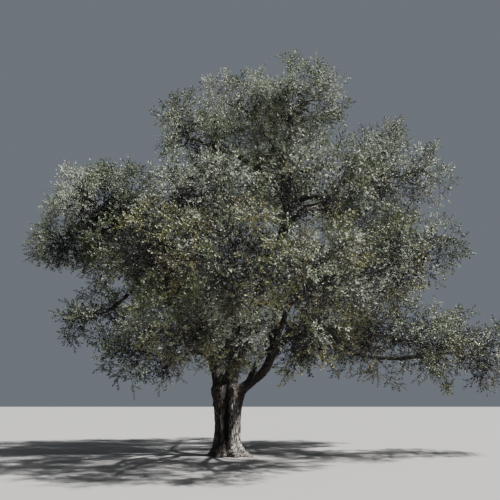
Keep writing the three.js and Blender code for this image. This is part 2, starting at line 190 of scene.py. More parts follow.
LIMBS = (
    Limb("crest", "trunk", Region.TOP, 0, 0.245, 353, 2.6, 12.6, 2.2, (
        (0.12, 0, 1.55), (0.16, -0.02, 2.65), (0.88, -0.18, 4.7), (1.74, -0.26, 6.9), (2.06, -0.22, 8.35),
        (1.96, -0.06, 10.1),
    ), 1, 0.72),
    Limb("left_shoulder", "trunk", Region.LEFT, 0, 0.212, 174, 4.75, 8.7, 2.2, (
        (-0.19, 0, 1.55), (-0.42, 0, 2.7), (-0.88, -0.06, 4.3), (-2.15, 0.06, 6.1),
    ), 2.4, 0.75),
    Limb("right_tip", "trunk", Region.RIGHT, 0, 0.172, 358, 6.45, 6.75, 1.95, (
        (0.23, -0.06, 1.55), (0.47, -0.09, 2.02), (0.84, -0.11, 2.3), (1.2, -0.12, 2.62), (1.42, -0.14, 3.14),
        (1.68, -0.22, 4.65), (2.8, -0.38, 5.9), (3.95, -0.34, 6.9), (4.85, -0.28, 7.5),
    ), 0.7, 0.88),
    Limb("back", "trunk", Region.BACK, 0, 0.2, 70, 5.85, 7.7, 2.6, (
        (0.02, 0.13, 1.55), (0.06, 0.52, 2.7), (0.35, 1.65, 4.3),
    ), 1, 0.3),
    Limb("right_upper", "crest", Region.TOP, 0.63, 0.135, 3, 6.4, 9.6, 2.1, (
        (2.7, -0.24, 8.7), (3.62, -0.24, 8.78), (4.08, -0.18, 9.35), (4.75, -0.06, 10.05),
    ), 0.6, 0.55),
    Limb("top_right", "right_upper", Region.TOP, 0.42, 0.08, 11, 5.95, 11.4, 1.6, (), 0.75),
    Limb("peak", "crest", Region.TOP, 0.8, 0.115, 28, 0.65, 12.95, 2.0, (), 1, 0.25),
    Limb("top_left", "crest", Region.TOP, 0.68, 0.105, 195, 1.35, 11.4, 1.9, (), 1, 0.2),
    Limb("front_crown_right", "crest", Region.RIGHT, 0.5, 0.11, 314, 3.9, 8, 2.15, (), 0.45),
    Limb("front_crown_left", "crest", Region.FRONT, 0.4, 0.11, 256, 2.95, 7.75, 1.95),
    Limb("back_crown_right", "crest", Region.RIGHT, 0.56, 0.12, 34, 6.7, 9.8, 2.3, (), 0.6, 0.3),
    Limb("back_top", "crest", Region.TOP, 0.66, 0.115, 64, 4.4, 11.35, 2.4, (), 1, 0.3),
    Limb("far_left", "left_shoulder", Region.LEFT, 0.66, 0.11, 177, 5.8, 7.2, 1.6, (), 1.6),
    Limb("left_low", "left_shoulder", Region.LEFT, 0.4, 0.115, 179, 4.4, 4.4, 1.65, (
        (-2.1, -0.06, 4.95), (-3.1, -0.02, 5.5),
    )),
    Limb("left_hang", "left_shoulder", Region.LEFT, 0.3, 0.095, 200, 2.6, 3.25, 1.7),
    Limb("left_front", "left_shoulder", Region.LEFT, 0.46, 0.11, 240, 3.95, 5.75, 1.95),
    Limb("left_back", "left_shoulder", Region.LEFT, 0.52, 0.12, 140, 5.65, 7.3, 2.3, (), 1, 0.3),
    Limb("front_left_low", "left_shoulder", Region.FRONT, 0.24, 0.1, 255, 4.3, 3.65, 1.7),
    Limb("low_right", "right_tip", Region.LOW_RIGHT, 0.39, 0.12, 354, 5.6, 3.6, 2.1, (
        (2.3, -0.05, 4.12), (3.4, -0.1, 4.05),
    )),
    Limb("low_far_right", "low_right", Region.LOW_RIGHT, 0.6, 0.09, 4, 8.2, 3.3, 1.9, (
        (4.35, 0.95, 3.3), (5.9, 1.55, 3.15),
    ), 1.2),
    Limb("low_front_right", "right_tip", Region.LOW_RIGHT, 0.16, 0.085, 306, 3.75, 3.5, 1.75, (
        (0.93, -0.2, 2.82), (1.2, -0.45, 3.15),
    )),
    Limb("low_back_right", "low_right", Region.LOW_RIGHT, 0.45, 0.09, 42, 5.8, 4.3, 2.1, (), 1, 0.3),
    Limb("front_right", "right_tip", Region.RIGHT, 0.44, 0.1, 295, 5.55, 4.55, 1.8),
    Limb("right_mid", "right_tip", Region.RIGHT, 0.56, 0.095, 327, 5.35, 5.55, 1.75),
    Limb("back_right", "right_tip", Region.RIGHT, 0.61, 0.105, 34, 7.35, 6.7, 2.3, (), 1, 0.3),
    Limb("front_mid", "crest", Region.FRONT, 0.2, 0.11, 273, 5.15, 5.1, 1.9),
    Limb("front_low", "crest", Region.FRONT, 0.12, 0.075, 271, 2.3, 3.55, 1.5),
    Limb("back_left", "back", Region.BACK, 0.42, 0.12, 110, 5.35, 6.7, 2.35, (), 1, 0.3),
    Limb("back_crown_left", "back", Region.BACK, 0.55, 0.12, 112, 3.8, 10.1, 2.4, (), 1, 0.3),
)


def seeded(seed: int) -> Random:
    """A repeatable source of numbers from 0 to 1.

    Args:
        seed: The number that picks the sequence.

    Returns:
        A function that gives the next number.
    """
    state = seed * 7919 + 101

    def step() -> float:
        """Moves on to the next number.

        Returns:
            The number, from 0 to 1.
        """
        nonlocal state
        state = (state * 16807) % 2147483647
        return state / 2147483647

    return step


def between(ends: tuple[float, float], share: float) -> float:
    """The number at a share of the way from one end to the other."""
    return ends[0] + (ends[1] - ends[0]) * share


def scatter(random: Random) -> Vector:
    """Any point in a cube one metre wide round the origin."""
    return Vector((random() - 0.5, random() - 0.5, random() - 0.5))


def square_to(direction: Vector) -> Vector:
    """Any unit vector square to a direction."""
    return (direction.cross(UP) + Vector((1e-3, 0.0, 0.0))).normalized()


@dataclass(frozen=True)
class Route:
    """A smooth line through points."""

    points: tuple[Vector, ...]

    def at(self, share: float) -> Vector:
        """The point at a share of the way.

        Args:
            share: From 0 at the first point to 1 at the last.

        Returns:
            The point there.
        """
        points = self.points
        last = len(points) - 1
        place = share * last
        index = min(int(place), last - 1)
        part = place - index
        start, end = points[index], points[index + 1]
        before = points[index - 1] if index > 0 else 2 * points[0] - points[1]
        after = points[index + 2] if index + 2 <= last else 2 * points[last] - points[last - 1]
        leaving = (end - before) / 2
        arriving = (after - start) / 2
        square = 3 * (end - start) - 2 * leaving - arriving
        cube = 2 * (start - end) + leaving + arriving
        return start + leaving * part + square * part**2 + cube * part**3

    def tangent(self, share: float) -> Vector:
        """The direction at a share of the way."""
        return (self.at(min(share + 1e-4, 1.0)) - self.at(max(share - 1e-4, 0.0))).normalized()

    def length(self) -> float:
        """The length along the line."""
        steps = [self.at(i / 200) for i in range(201)]
        return sum((b - a).length for a, b in zip(steps, steps[1:]))


@dataclass
class Grown:
    """A limb with its centre line and its place in the table."""

    limb: Limb
    index: int
    route: Route
    length: float
    thickest: float

    def radius(self, share: float) -> float:
        """Finds how thick the limb is, which is thickest where it leaves its parent.

        Args:
            share: How far along the limb, from 0 to 1.

        Returns:
            Its radius there.
        """
        girth, tip = self.limb.girth, Skeleton.LIMB_TIP
        collar = Skeleton.COLLAR * girth * math.exp(-share * self.length / (Skeleton.COLLAR_FADE * girth))
        return min(self.thickest, tip + (girth - tip) * (1 - share) ** Skeleton.TAPER + collar)


class Skeleton:
    """The trunk's form and the centre lines of every limb, by the source's rules."""

    LIMB_TIP = 0.072
    COLLAR = 0.35
    COLLAR_FADE = 4
    TAPER = 0.9
    CHILD_SHARE = 0.8
    ENTRY = 0.62
    FIRST_ELBOW = 0.32
    SECOND_ELBOW = 0.7
    FOLLOW = 0.55
    ARCH = 0.1
    SWAY = 0.07
    ROOT_FADE = 0.18
    SEAM_WIDTH = 15
    SEAM_RISE = 0.7
    SEAM_TOP = TRUNK_STATIONS[-2].up
    DEEPEST_SEAM = 0.55
    TRUNK_HEIGHT = TRUNK_STATIONS[-1].up
    LEAN = 0.025

    def __init__(self) -> None:
        """Grows every limb in the table's order."""
        self.grown: dict[str, Grown] = {}
        for index, limb in enumerate(LIMBS):
            parent = self.grown.get(limb.parent)
            route = self._route(limb, parent, seeded(ROUTE_SEED + index))
            thickest = self.CHILD_SHARE * parent.radius(limb.share) if parent else math.inf
            self.grown[limb.name] = Grown(limb, index, route, route.length(), thickest)

    def _route(self, limb: Limb, parent: Grown | None, random: Random) -> Route:
        """The centre line of a limb, from inside its parent to where it enters its foliage.

        Args:
            limb: The limb.
            parent: The limb that it leaves, or None where that is the trunk.
            random: The limb's own source of numbers.

        Returns:
            The line.
        """
        centre = limb.middle()
        root = parent.route.at(limb.share) if parent else None
        elbows = [Vector(elbow) for elbow in limb.through]
        before = elbows[-1] if elbows else root
        tip = centre - (centre - before).normalized() * limb.reach * self.ENTRY
        if not elbows:
            way = tip - root
            ahead = (way.normalized() + self.FOLLOW * parent.route.tangent(limb.share)).normalized()
            aside = Vector((-way.y, way.x, 0)).normalized() * (self.SWAY * way.length * (2 * random() - 1))
            elbows.append(root + ahead * self.FIRST_ELBOW * way.length)
            bend = root + way * self.SECOND_ELBOW + aside
            bend.z = root.z + self.SECOND_ELBOW * way.z + self.ARCH * way.length
            elbows.append(bend)
        return Route(tuple(([root] if root else []) + elbows + [tip]))

    def lean(self, up: float) -> float:
        """How far the trunk's middle has moved to the right at a height."""
        return self.LEAN * up / self.TRUNK_HEIGHT

    def trunk_point(self, up: float, bearing: float) -> Vector:
        """A point on the trunk.

        Args:
            up: Its height.
            bearing: Its bearing from the trunk's middle.

        Returns:
            The point.
        """

        def bell(centre: float, width: float) -> float:
            """How near the bearing is to a centre: 1 there, fading over a width in degrees."""
            return math.exp(-((((bearing - centre + 540) % 360 - 180) / width) ** 2))

        levels = [station.up for station in TRUNK_STATIONS]
        across = float(np.interp(up, levels, [station.across for station in TRUNK_STATIONS]))
        deep = float(np.interp(up, levels, [station.deep for station in TRUNK_STATIONS]))
        angle = math.radians(bearing)
        core = 1 / math.hypot(math.cos(angle) / across, math.sin(angle) / deep)
        swelling = sum(root.reach * bell(root.bearing, root.width) for root in ROOTS)
        sunk = sum(
            min(max((up - seam.start) / (self.SEAM_TOP - seam.start), 0), 1) ** self.SEAM_RISE
            * seam.depth * bell(seam.bearing, self.SEAM_WIDTH)
            for seam in SEAMS
        )
        radius = core + swelling * math.exp(-up / self.ROOT_FADE) - min(sunk, self.DEEPEST_SEAM * core)
        return Vector((self.lean(up) + radius * math.cos(angle), radius * math.sin(angle), up))


# Helpers for meshes and nodes


def new_object(name: str, data: bpy.types.ID) -> bpy.types.Object:
    """Puts a mesh, light or camera in the scene.

    Args:
        name: The name of its object.
        data: The mesh, light or camera.

    Returns:
        Its object.
    """
    made = bpy.data.objects.new(name, data)
    bpy.context.scene.collection.objects.link(made)
    return made


def new_mesh(name: str, points: Sequence, edges: Sequence = (), faces: Sequence = ()) -> bpy.types.Mesh:
    """Makes a mesh.

    Args:
        name: Its name.
        points: Its points.
        edges: The pairs of points that its loose edges join.
        faces: The points round each of its faces.

    Returns:
        The mesh.
    """
    mesh = bpy.data.meshes.new(name)
    mesh.from_pydata(points, edges, faces)
    return mesh


def finished_mesh(name: str, body: bmesh.types.BMesh) -> bpy.types.Mesh:
    """Makes a mesh of what has been put together in a body.

    Args:
        name: The mesh's name.
        body: The body, which is freed.

    Returns:
        The mesh.
    """
    mesh = bpy.data.meshes.new(name)
    body.to_mesh(mesh)
    body.free()
    return mesh


def dressed_piece(mesh: bpy.types.Mesh, nodes: Sequence[str]) -> bpy.types.Object:
    """A mesh as a piece of the tree, named as the mesh is.

    Args:
        mesh: The mesh.
        nodes: The solids that it stands for.

    Returns:
        The piece.
    """
    piece = new_object(mesh.name, mesh)
    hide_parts(*nodes)
    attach(piece, BODY)
    return piece


def mesh_points(mesh: bpy.types.Mesh) -> np.ndarray:
    """Reads where a mesh's points are.

    Args:
        mesh: The mesh.

    Returns:
        The points, one a row.
    """
    points = np.empty(len(mesh.vertices) * 3)
    mesh.vertices.foreach_get("co", points)
    return points.reshape(-1, 3)


def set_attribute(mesh: bpy.types.Mesh, name: str, kind: str, values: Sequence) -> None:
    """Gives each point of a mesh a value.

    Args:
        mesh: The mesh.
        name: The attribute's name.
        kind: Its type: FLOAT, INT or FLOAT_VECTOR.
        values: One value or vector for each point.
    """
    attribute = mesh.attributes.new(name, kind, "POINT")
    key = "vector" if kind == "FLOAT_VECTOR" else "value"
    attribute.data.foreach_set(key, np.array(values, np.int32 if kind == "INT" else np.float32).ravel())


def joined(name: str, meshes: Sequence[bpy.types.Mesh]) -> bpy.types.Mesh:
    """Several meshes as one.

    Args:
        name: The new mesh's name.
        meshes: The meshes, which are removed.

    Returns:
        The new mesh, with the first one's materials.
    """
    body = bmesh.new()
    for mesh in meshes:
        body.from_mesh(mesh)
    result = finished_mesh(name, body)
    for material in meshes[0].materials:
        result.materials.append(material)
    for mesh in meshes:
        bpy.data.meshes.remove(mesh)
    return result


def plain_mesh(thing: bpy.types.Object, name: str) -> bpy.types.Mesh:
    """What an object's modifiers make of it, as a mesh of its own. The object is removed.

    Args:
        thing: The object.
        name: The new mesh's name.

    Returns:
        The mesh.
    """
    graph = bpy.context.evaluated_depsgraph_get()
    mesh = bpy.data.meshes.new_from_object(thing.evaluated_get(graph), preserve_all_data_layers=True, depsgraph=graph)
    mesh.name = name
    source = thing.data
    thing.modifiers.clear()
    bpy.data.objects.remove(thing)
    bpy.data.meshes.remove(source)
    return mesh


class NodeBuilder:
    """Adds nodes to a tree, each with its settings, values and links."""

    def __init__(self, tree: bpy.types.NodeTree) -> None:
        """Starts on a tree."""
        self.tree = tree

    def add(self, kind: str, sockets: dict[int | str, object] | None = None, **settings: object) -> bpy.types.Node:
        """Adds a node.

        Args:
            kind: The node's type.
            sockets: For each input, by name or number, a value or the output that feeds it.
            settings: The node's own settings.

        Returns:
            The node.
        """
        node = self.tree.nodes.new(kind)
        for key, value in settings.items():
            setattr(node, key, value)
        for key, value in (sockets or {}).items():
            if isinstance(value, Socket):
                self.tree.links.new(value, node.inputs[key])
            else:
                node.inputs[key].default_value = value
        return node

    def maths(self, operation: str, *values: object) -> Socket:
        """Adds a maths node and gives its output."""
        return self.add("ShaderNodeMath", dict(enumerate(values)), operation=operation).outputs[0]

    def vectors(self, operation: str, *values: object) -> Socket:
        """Adds a vector maths node and gives its output."""
        return self.add("ShaderNodeVectorMath", dict(enumerate(values)), operation=operation).outputs[0]

    def scaled(self, vector: Socket, amount: object) -> Socket:
        """Multiplies a vector by a number."""
        return self.add("ShaderNodeVectorMath", {0: vector, "Scale": amount}, operation="SCALE").outputs[0]

    def mix(self, factor: object, first: object, second: object) -> Socket:
        """Adds a colour mix and gives its output."""
        return self.add("ShaderNodeMix", {0: factor, 6: first, 7: second}, data_type="RGBA").outputs[2]

    def noise(self, vector: Socket, scale: object, detail: float = 2.0) -> bpy.types.Node:
        """Adds a noise texture."""
        return self.add("ShaderNodeTexNoise", {"Vector": vector, "Scale": scale, "Detail": detail})

    def ramp(
        self, value: Socket, low: object, high: object, to_low: float = 0.0, to_high: float = 1.0,
        shape: str = "LINEAR",
    ) -> Socket:
        """Maps one range of a value to another, and keeps to it.

        Args:
            value: The value.
            low: The start of its range.
            high: The end of it.
            to_low: What the start becomes.
            to_high: What the end becomes.
            shape: How it goes from one to the other.

        Returns:
            The mapped value.
        """
        return self.add("ShaderNodeMapRange", {
            "Value": value, "From Min": low, "From Max": high, "To Min": to_low, "To Max": to_high,
        }, interpolation_type=shape).outputs["Result"]

    def stored(self, name: str, kind: str = "FLOAT") -> Socket:
        """Reads a value that a mesh's points carry, in a geometry tree."""
        return self.add("GeometryNodeInputNamedAttribute", {"Name": name}, data_type=kind).outputs[0]

    def read(self, name: str, output: str = "Fac") -> Socket:
        """Reads a value that a mesh's points carry, in a material."""
        return self.add("ShaderNodeAttribute", attribute_name=name).outputs[output]

    def cracks(self, vector: Socket, block: Socket, wander: object, width: Socket) -> tuple[Socket, Socket, Socket]:
        """Divides a surface into blocks of bark with crooked edges.

        Args:
            vector: Where a point lies on the surface.
            block: The size of a block.
            wander: How far its edges stray.
            width: How wide the cracks between blocks are.

        Returns:
            The point counted in blocks, the same moved by the straying, and 0 in a crack to 1 on a block.
        """
        blocks = self.vectors("DIVIDE", vector, block)
        swing = self.vectors("SUBTRACT", self.noise(blocks, 0.9, 3.0).outputs["Color"], (0.5, 0.5, 0.5))
        moved = self.vectors("ADD", blocks, self.scaled(swing, wander))
        edge = self.add("ShaderNodeTexVoronoi", {"Vector": moved, "Scale": 1.0}, feature="DISTANCE_TO_EDGE")
        return blocks, moved, self.ramp(edge.outputs["Distance"], 0.0, width, shape="SMOOTHSTEP")

    def finish(self, sockets: dict[str, object]) -> None:
        """Ends a material with a surface that has the given inputs."""
        surface = self.add("ShaderNodeBsdfPrincipled", sockets)
        self.add("ShaderNodeOutputMaterial", {"Surface": surface.outputs[0]})


def started_tree(
    name: str, kind: str, inputs: dict[str, tuple[str, object]], outputs: dict[str, str]
) -> tuple[bpy.types.NodeTree, NodeBuilder, bpy.types.NodeOutputs]:
    """Starts a node group.

    Args:
        name: The group's name.
        kind: The type of tree.
        inputs: For each input its type of socket and its default, or None.
        outputs: For each output its type of socket.

    Returns:
        The group, its builder and its inputs as the nodes in it see them.
    """
    tree = bpy.data.node_groups.new(name, kind)
    for key, (socket_kind, default) in inputs.items():
        socket = tree.interface.new_socket(key, in_out="INPUT", socket_type=socket_kind)
        if default is not None:
            socket.default_value = default
    for key, socket_kind in outputs.items():
        tree.interface.new_socket(key, in_out="OUTPUT", socket_type=socket_kind)
    builder = NodeBuilder(tree)
    return tree, builder, builder.add("NodeGroupInput").outputs


def started_growth(
    name: str, inputs: dict[str, tuple[str, object]]
) -> tuple[bpy.types.NodeTree, NodeBuilder, bpy.types.NodeOutputs]:
    """Starts a geometry tree that turns one geometry into another, as started_tree does."""
    geometry = "NodeSocketGeometry"
    return started_tree(name, "GeometryNodeTree", {"Geometry": (geometry, None), **inputs}, {"Geometry": geometry})


def run_growth(tree: bpy.types.NodeTree, mesh: bpy.types.Mesh, name: str, values: dict[str, object]) -> bpy.types.Mesh:
    """Runs a geometry tree on a mesh.

    Args:
        tree: The tree.
        mesh: What it starts from, which is removed.
        name: The name of the result.
        values: A value for each of the tree's named inputs that isn't to have its default.

    Returns:
        The result as a plain mesh.
    """
    thing = new_object(name, mesh)
    modifier = thing.modifiers.new("growth", "NODES")
    modifier.node_group = tree
    for socket in tree.interface.items_tree:
        if socket.in_out == "INPUT" and socket.name in values:
            modifier[socket.identifier] = values[socket.name]
    return plain_mesh(thing, name)


# Finishes


def linear(colour: int) -> tuple[float, float, float, float]:
    """A colour as the shader takes it.

    Args:
        colour: The colour as 0xRRGGBB.

    Returns:
        Its linear red, green and blue, and 1.
    """
    parts = [((colour >> shift) & 255) / 255 for shift in (16, 8, 0)]
    made = [part / 12.92 if part <= 0.04045 else ((part + 0.055) / 1.055) ** 2.4 for part in parts]
    return (made[0], made[1], made[2], 1.0)


def cracked_blocks_group() -> bpy.types.NodeTree:
    """Makes the group that breaks bark into blocks.

    Returns:
        The group. Plate is 0 in a crack and 1 on a block, Tone differs from block to block, and Height is for bumps.
    """
    tree, nodes, given = started_tree(
        "cracked_blocks",
        "ShaderNodeTree",
        {
            "Vector": ("NodeSocketVector", None),
            "Block": ("NodeSocketVector", (0.07, 0.07, 0.2)),
            "Wander": ("NodeSocketFloat", 0.5),
            "Crack": ("NodeSocketFloat", 0.22),
        },
        {"Plate": "NodeSocketFloat", "Tone": "NodeSocketFloat", "Height": "NodeSocketFloat"},
    )
    blocks, moved, plate = nodes.cracks(given["Vector"], given["Block"], given["Wander"], given["Crack"])
    cell = nodes.add("ShaderNodeTexVoronoi", {"Vector": moved, "Scale": 1.0}, feature="F1")
    tone = nodes.add("ShaderNodeSeparateColor", {0: cell.outputs["Color"]}).outputs[0]
    fine = nodes.noise(blocks, 5.0, 5.0).outputs["Fac"]
    height = nodes.maths("ADD", plate, nodes.maths("MULTIPLY", fine, 0.5))
    nodes.add("NodeGroupOutput", {"Plate": plate, "Tone": tone, "Height": height})
    return tree


def uneven_tone_group() -> bpy.types.NodeTree:
    """Makes the group that varies a colour, by broad patches and fine flecks, between a light and a dark form of it.

    Returns:
        The group.
    """
    tree, nodes, given = started_tree(
        "uneven_tone",
        "ShaderNodeTree",
        {
            "Vector": ("NodeSocketVector", None),
            "Light": ("NodeSocketColor", None),
            "Dark": ("NodeSocketColor", None),
            "Patches": ("NodeSocketFloat", 1.0),
            "Flecks": ("NodeSocketFloat", 20.0),
        },
        {"Color": "NodeSocketColor", "Roughness": "NodeSocketFloat"},
    )
    broad = nodes.noise(given["Vector"], given["Patches"]).outputs["Fac"]
    fine = nodes.noise(given["Vector"], given["Flecks"]).outputs["Fac"]
    blend = nodes.maths("ADD", nodes.maths("MULTIPLY", broad, 0.45), nodes.maths("MULTIPLY", fine, 0.55))
    colour = nodes.mix(nodes.ramp(blend, 0.38, 0.62), given["Dark"], given["Light"])
    nodes.add("NodeGroupOutput", {"Color": colour, "Roughness": nodes.ramp(fine, 0.0, 1.0, 0.42, 0.62)})
    return tree


def started_material(name: str) -> tuple[bpy.types.Material, NodeBuilder, Socket]:
    """Starts a node material.

    Args:
        name: Its name.

    Returns:
        The material, its builder and the place of a point on the object.
    """
    material = bpy.data.materials.new(name)
    material.use_nodes = True
    material.node_tree.nodes.clear()
    nodes = NodeBuilder(material.node_tree)
    return material, nodes, nodes.add("ShaderNodeTexCoord").outputs["Object"]


@dataclass(frozen=True)
class BarkFinish:
    """Deeply cracked bark in blocks, read from how the grain runs on each limb, with painted sunlight on the foot's
    right side, and painted shade on the thinner limbs and in the trunk's seams.
    """

    name: str
    sunlit_side: int
    light: int
    shaded_limb: int
    dark: int
    crack: int
    block: tuple[float, float, float]
    depth: float

    def material(self, cracks: bpy.types.NodeTree) -> bpy.types.Material:
        """Makes the material.

        Args:
            cracks: The group that breaks bark into blocks.

        Returns:
            The material.
        """
        material, nodes, place = started_material(self.name)
        grain = nodes.read("grain", "Vector")
        blocks = nodes.add("ShaderNodeGroup", {"Vector": grain, "Block": self.block}, node_tree=cracks)
        weather = nodes.noise(place, 1.7, 4.0).outputs["Fac"]
        tone = nodes.maths("ADD", nodes.maths("MULTIPLY", blocks.outputs["Tone"], 0.5), weather)
        # painted shade: thinner limbs take a darker colour than the trunk
        light = nodes.mix(
            nodes.ramp(nodes.read("girth"), 0.2, 0.42),
            linear(self.shaded_limb),
            # painted sunlight: the trunk's right side is lightened below the fork
            nodes.mix(self._painted_sunlight(nodes, place), linear(self.light), linear(self.sunlit_side)),
        )
        plates = nodes.mix(nodes.ramp(tone, 0.42, 1.08), linear(self.dark), light)
        cracked = nodes.mix(blocks.outputs["Plate"], linear(self.crack), plates)
        bump = nodes.add("ShaderNodeBump", {
            "Height": blocks.outputs["Height"], "Strength": 0.7, "Distance": self.depth,
        }).outputs["Normal"]
        nodes.finish({
            # painted shade: points sunk in the trunk's seams are darkened towards the crack colour
            "Base Color": nodes.mix(nodes.maths("MULTIPLY", nodes.read("hollow"), 0.8), cracked, linear(self.crack)),
            "Roughness": nodes.ramp(weather, 0.0, 1.0, 0.85, 0.98),
            "Normal": bump,
        })
        return material

    @staticmethod
    def _painted_sunlight(nodes: NodeBuilder, place: Socket) -> Socket:
        """How far painted sunlight lightens the bark: fully on the trunk's right side, up to its fork, and less at the
        ground.

        Args:
            nodes: The material's builder.
            place: The place of a point on the object.

        Returns:
            The share, from 0 to 1.
        """
        spot = nodes.add("ShaderNodeSeparateXYZ", {0: place}).outputs
        right = nodes.ramp(spot["X"], -0.02, 0.2)
        below_fork = nodes.ramp(spot["Z"], 1.9, 1.45)
        off_ground = nodes.ramp(spot["Z"], 0.05, 0.6, 0.2)
        return nodes.maths("MULTIPLY", nodes.maths("MULTIPLY", right, below_fork), off_ground)


@dataclass(frozen=True)
class UnevenFinish:
    """A finish between a light and a dark form of its colour, with knots on it where they have a height."""

    name: str
    light: int
    dark: int
    patches: float = 1.6
    flecks: float = 18.0
    knots: float = 0.0

    def material(self, tone: bpy.types.NodeTree) -> bpy.types.Material:
        """Makes the material.

        Args:
            tone: The group that varies a colour.

        Returns:
            The material.
        """
        material, nodes, place = started_material(self.name)
        varied = nodes.add("ShaderNodeGroup", {
            "Vector": place, "Light": linear(self.light), "Dark": linear(self.dark), "Patches": self.patches,
            "Flecks": self.flecks,
        }, node_tree=tone).outputs
        sockets: dict[str, object] = {"Base Color": varied["Color"], "Roughness": varied["Roughness"]}
        if self.knots:
            height = nodes.noise(place, 60.0, 3.0).outputs["Fac"]
            bump = nodes.add("ShaderNodeBump", {"Height": height, "Strength": 0.5, "Distance": self.knots})
            sockets |= {"Roughness": 0.85, "Normal": bump.outputs["Normal"]}
        nodes.finish(sockets)
        return material


OLD_BARK = BarkFinish("old_bark", 0xC6BFB6, 0x7A7068, 0x3F3935, 0x211D1A, 0x0C0A09, (0.05, 0.05, 0.28), 0.014)
TWIG_SKIN = UnevenFinish("twig_skin", 0x4E4843, 0x262220, 3.0, 40.0, 0.004)
LEAF_COLOURS = {
    Tint.SILVER: (0xC2C9B5, 0x343A2D),
    Tint.SAGE: (0x9BA588, 0x252B1F),
    Tint.GREEN: (0x63704A, 0x151B0F),
    Tint.OLIVE: (0x949462, 0x292B17),
    Tint.FADED: (0x7B755A, 0x2B261C),
    # painted shade: the near-black leaf colour for deep in the crown and under masses
    Tint.INNER: (0x1B2015, 0x080A06),
}

# How the tints are dealt: each with the number up to which a draw from 0 to 1 picks it, and FADED past the last
UPPER_TINTS = ((Tint.SILVER, 0.34), (Tint.SAGE, 0.7), (Tint.GREEN, 0.9), (Tint.OLIVE, 0.97))
LOW_TINTS = ((Tint.SILVER, 0.14), (Tint.SAGE, 0.46), (Tint.GREEN, 0.64), (Tint.OLIVE, 0.88))
# painted shade: under the crown's left side, darker tints and a share of near-black ones
SHADED_TINTS = ((Tint.SILVER, 0.07), (Tint.SAGE, 0.27), (Tint.GREEN, 0.7), (Tint.OLIVE, 0.75), (Tint.INNER, 1.0))
LOW_BELOW = 6.2
SHADED_BELOW = 6.8
SHADED_LEFT_OF = -2.2


def deal_tint(random: Random, place: Vector) -> int:
    """Picks a tint for a spray, the common ones at its place more often, and dark ones as painted shade under the
    crown's left side.

    Args:
        random: The source of numbers.
        place: Where the spray is.

    Returns:
        The tint's number.
    """
    pick = random()
    tints = UPPER_TINTS
    if place.x < SHADED_LEFT_OF and place.z < SHADED_BELOW:
        tints = SHADED_TINTS
    elif place.z < LOW_BELOW:
        tints = LOW_TINTS
    for tint, until in tints:
        if pick < until:
            return tint.value
    return Tint.FADED.value


@dataclass
class Finishes:
    """Every material of the tree, made once."""

    bark: bpy.types.Material = field(init=False)
    twig: bpy.types.Material = field(init=False)
    leaves: list[bpy.types.Material] = field(init=False)

    def __post_init__(self) -> None:
        """Makes the groups that materials share, then the materials."""
        tone = uneven_tone_group()
        self.bark = OLD_BARK.material(cracked_blocks_group())
        self.twig = TWIG_SKIN.material(tone)
        self.leaves = [
            UnevenFinish(f"leaf_{tint.name.lower()}", *colours).material(tone)
            for tint, colours in LEAF_COLOURS.items()
        ]


# The trunk and boughs


class BarkPart(Enum):
    """The pieces that the skin of bark is divided into."""

    TRUNK = "trunk"
    LEFT = "left"
    RIGHT = "right"
    TOP = "top"
    BACK = "back"


@dataclass(frozen=True)
class Wave:
    """A swelling that runs round a limb a number of times, and along it by a pitch."""

    height: float
    turns: float
    pitch: float


